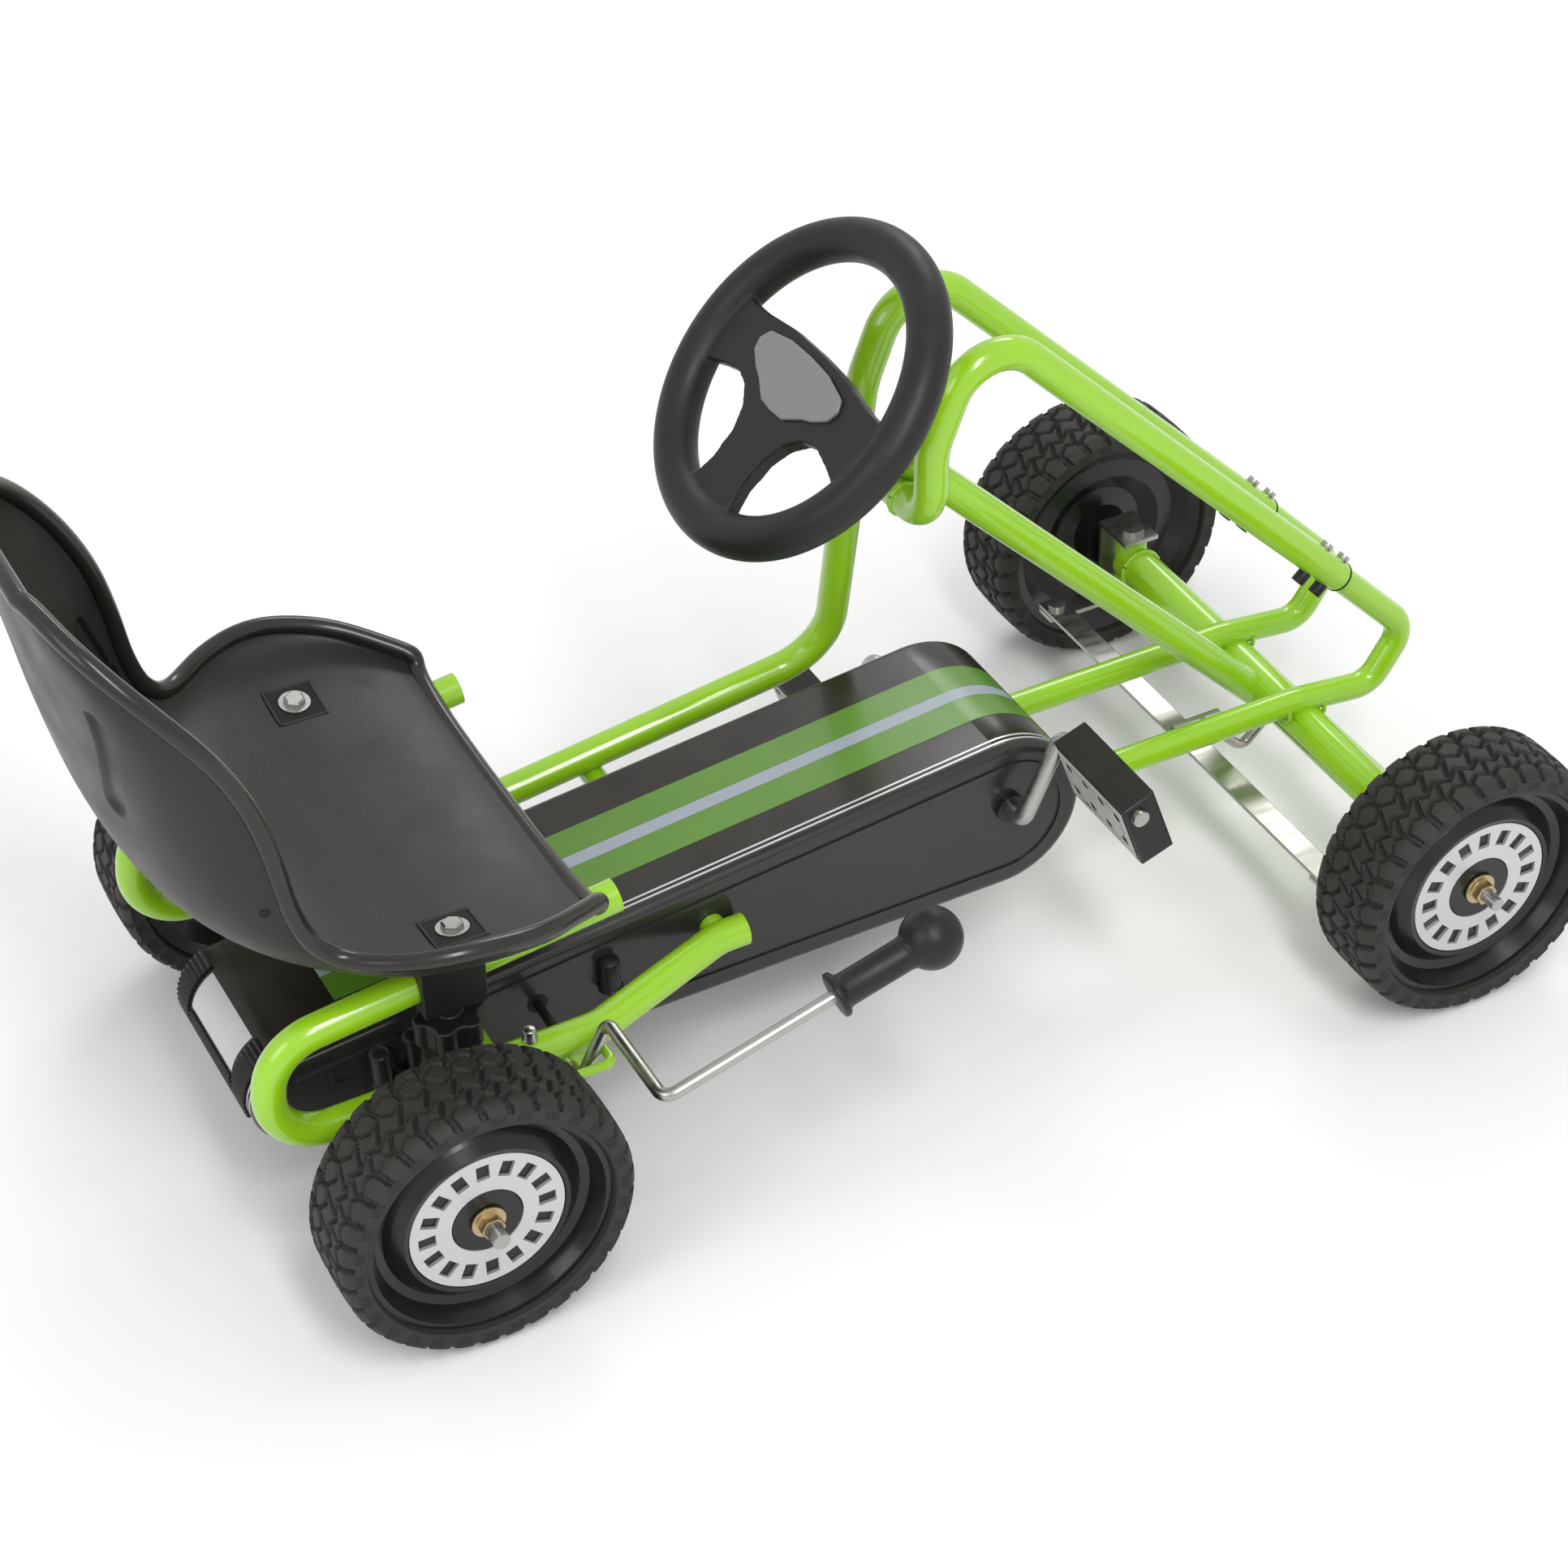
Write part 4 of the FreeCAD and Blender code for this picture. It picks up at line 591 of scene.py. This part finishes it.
# ---------------------------------------------------------------- welds
def weld_ring(name, centre, axis, radius, body, bead=0.0017, from_angle=0.0, to_angle=360.0, steps=90):
    """A weld bead round a tube, with the ripple of its passes."""
    side, other = axes_for(axis)
    closed = to_angle - from_angle >= 360.0
    points = []
    for i in range(steps if closed else steps + 1):
        angle = math.radians(from_angle + (to_angle - from_angle) * i / steps)
        points.append(centre + (side * math.cos(angle) + other * math.sin(angle)) * radius)
    verts, faces = ring_path(points, bead, closed, 10, 0.16)
    return piece(name, verts, faces, GREEN, body, 60.0)


CHASSIS = NODES["front_axle_beam"]["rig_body"]
SLOPE = (at(764.0, 0, 223.5) - at(461.5, 0, 528.7)).normalized()
for side, side_name in ((1, "left"), (-1, "right")):
    y = side * 47.5
    weld_ring("weld_column_cross_" + side_name, at(425.0, side * 12.5, 384.0), Vector((0, 1, 0)), 0.0115,
              CHASSIS)
    weld_ring("weld_beam_tube_rear_" + side_name, at(724.5, y, 117.0), Vector((1, 0, 0.12)), 0.0102, CHASSIS)
    weld_ring("weld_beam_tube_front_" + side_name, at(755.0, y, 113.5), Vector((1, 0, -0.1)), 0.0102, CHASSIS)
    weld_ring("weld_kingpin_" + side_name, at(740.0, side * 172.0, 102.5), Vector((0, 1, 0)), 0.0162, CHASSIS)
    # painted shadow: a thin near-black ring at the sleeve step stands for the shadow cast by the overlapping
    # tube end
    sleeve = [(0.0, 0.0112), (0.0, 0.01175), (0.0016, 0.01175), (0.0016, 0.0112)]
    verts, faces = lathe(sleeve, at(764.0, y, 223.5) - SLOPE * 0.0006, SLOPE, 40)
    piece("sleeve_shadow_line_" + side_name, verts, faces, PAINTED_SHADE, CHASSIS, 30.0)


# ---------------------------------------------------------------- small fittings
def capped_post(name, base, height, radius, material, body, axis=Vector((0, 0, 1))):
    """A short moulded post with a collar at its foot and a rounded top."""
    profile = [(0.0, 0.0), (0.0, radius * 1.18), (0.0016, radius * 1.18), (0.0024, radius)]
    profile.append((height - radius * 0.35, radius))
    for i in range(1, 7):
        angle = math.pi / 2.0 * i / 6.0
        profile.append((height - radius * 0.35 * (1.0 - math.sin(angle)), radius * math.cos(angle)))
    verts, faces = lathe(profile, base, axis, 32)
    return piece(name, verts, faces, material, body, 50.0)


def bar(name, start, end, radius, material, body, steps=24):
    axis = end - start
    profile = [(0.0, 0.0), (0.0, radius), (axis.length, radius), (axis.length, 0.0)]
    verts, faces = lathe(profile, start, axis, steps)
    return piece(name, verts, faces, material, body, 40.0)


CASE_BODY = NODES["chain_case_body"]["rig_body"]
capped_post("case_oil_cap", at(160, -77.0, 112), 0.026, 0.0075, BLACK, CASE_BODY)
bar("case_cap_neck", at(160, -70.5, 118), at(160, -77.0, 118), 0.0058, BLACK, CASE_BODY)
# painted shade: a thin near-black disc round the stay stands for the dark of the hole it enters
bar("case_stay_hole", at(108, -72.0, 116), at(108, -72.5, 116), 0.0075, PAINTED_SHADE, CASE_BODY)
bar("case_stay", at(108, -71.0, 116), at(101, -118.0, 131), 0.0032, BLACK, CASE_BODY)
POST_AXIS = Vector((-0.05, -0.1, 1.0))
capped_post("case_post_rear", at(-13, -92, 116), 0.030, 0.0070, BLACK, CASE_BODY, POST_AXIS)
capped_post("case_post_front", at(11, -92, 120), 0.032, 0.0070, BLACK, CASE_BODY, POST_AXIS)
bar("case_post_shelf", at(-1, -71.5, 119), at(-1, -97.0, 119), 0.0060, BLACK, CASE_BODY)
capped_post("rail_bolt_right", at(79, -127, 140.6), 0.010, 0.0046, ZINC, CHASSIS)
capped_post("rail_bolt_left", at(79, 127, 140.6), 0.010, 0.0046, ZINC, CHASSIS)
# painted shade: the L-shaped recess is two thin near-black plates on the case face, standing for the shade
# inside it
for name, outline in (("upright", [(-0.002, -0.009), (0.002, -0.009), (0.002, 0.009), (-0.002, 0.009)]),
                      ("foot", [(0.002, -0.009), (0.012, -0.009), (0.012, -0.005), (0.002, -0.005)])):
    verts, faces = prism(outline, 0.0004, at(-42, -72.9, 116), Vector((1, 0, 0)), Vector((0, 0, 1)),
                         Vector((0, -1, 0)))
    piece("case_recess_" + name, verts, faces, PAINTED_SHADE, CASE_BODY, 30.0)


def wrap_on_case(name, y_low, y_high, angle_low, angle_high, lift, material, steps=16, scallop=0.0):
    """A thin strip wrapped on the rounded rear of the case."""
    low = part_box("chain_case_body")[0]
    radius = at(-62.0, 0, 0).x - low.x
    centre = Vector((low.x + radius, 0.0, low.z + radius))
    verts = []
    for i in range(steps + 1):
        angle = math.radians(angle_low + (angle_high - angle_low) * i / steps)
        out = Vector((-math.cos(angle), 0.0, math.sin(angle)))
        rise = lift * (1.0 + scallop * (i % 2))
        for y in (y_low, y_high):
            verts.append(centre + out * (radius + rise) + Vector((0, y, 0)))
            verts.append(centre + out * (radius - 0.0005) + Vector((0, y, 0)))
    faces = []
    for i in range(steps):
        a = i * 4
        b = a + 4
        faces += [(a, a + 2, b + 2, b), (a + 1, b + 1, b + 3, a + 3)]
        faces += [(a, b, b + 1, a + 1), (a + 2, a + 3, b + 3, b + 2)]
    faces += [(0, 1, 3, 2), (steps * 4, steps * 4 + 2, steps * 4 + 3, steps * 4 + 1)]
    return piece(name, verts, faces, material, CASE_BODY, 30.0)


# a blank sticker on the case's rear, between two ribbed black grips
wrap_on_case("case_label", -0.030, 0.044, 14.0, 62.0, 0.0003, LABEL)
for grip, (y_low, y_high) in enumerate(((0.048, 0.068), (-0.056, -0.034))):
    wrap_on_case("case_grip_%d" % grip, y_low, y_high, -20.0, 66.0, 0.0011, BLACK, 26, 1.2)
wrap_on_case("case_grip_low", -0.030, 0.044, -30.0, 8.0, 0.0011, BLACK, 14, 1.2)


# ---------------------------------------------------------------- camera, light and floor
AZIMUTH = math.radians(-26.70)
ELEVATION = math.radians(38.644)
ROLL = math.radians(-1.693)


def make_camera():
    level = math.cos(ELEVATION)
    back = Vector((math.sin(AZIMUTH) * level, -math.cos(AZIMUTH) * level, math.sin(ELEVATION)))
    right = (-back).cross(Vector((0, 0, 1))).normalized()
    up = right.cross(-back)
    turned_right = right * math.cos(ROLL) + up * math.sin(ROLL)
    turned_up = up * math.cos(ROLL) - right * math.sin(ROLL)
    camera = bpy.data.objects.new("camera", bpy.data.cameras.new("camera"))
    bpy.context.scene.collection.objects.link(camera)
    camera.data.lens = 82.69
    camera.data.sensor_width = 36.0
    rotation = Matrix((turned_right, turned_up, back)).transposed().to_4x4()
    camera.matrix_world = Matrix.Translation(Vector((-0.8812, -1.7617, 1.7427))) @ rotation
    bpy.context.scene.camera = camera


def area_light(name, place, target, size, power, color=(1.0, 1.0, 1.0)):
    light = bpy.data.lights.new(name, "AREA")
    light.shape = "RECTANGLE"
    light.size = size[0]
    light.size_y = size[1]
    light.energy = power
    light.color = color
    lamp = bpy.data.objects.new(name, light)
    bpy.context.scene.collection.objects.link(lamp)
    lamp.location = place
    lamp.rotation_euler = (Vector(target) - Vector(place)).to_track_quat("-Z", "Y").to_euler()
    return lamp


def make_studio():
    floor_material = surface("studio_floor", (0.86, 0.86, 0.86), 0.9, tint=0.01, tint_scale=3.0, bump=0.02,
                             bump_scale=60.0, specular=0.1)
    verts = [(-30, -30, 0), (30, -30, 0), (30, 30, 0), (-30, 30, 0)]
    mesh = bpy.data.meshes.new("floor")
    mesh.from_pydata(verts, [], [(0, 1, 2, 3)])
    floor = bpy.data.objects.new("floor", mesh)
    bpy.context.scene.collection.objects.link(floor)
    floor.data.materials.append(floor_material)
    world = bpy.data.worlds.new("studio")
    bpy.context.scene.world = world
    world.use_nodes = True
    world.node_tree.nodes["Background"].inputs["Color"].default_value = (1.0, 1.0, 1.0, 1.0)
    world.node_tree.nodes["Background"].inputs["Strength"].default_value = 0.85
    area_light("key", (-0.4, -2.4, 3.2), (0.0, 0.0, 0.2), (0.55, 2.0), 62)
    area_light("fill", (-2.6, -0.8, 1.8), (0.0, 0.0, 0.2), (1.4, 1.4), 16)
    area_light("rim", (1.8, 2.2, 2.6), (0.0, 0.0, 0.2), (1.6, 0.6), 26)
    bpy.context.scene.view_settings.view_transform = "Standard"


make_camera()
make_studio()
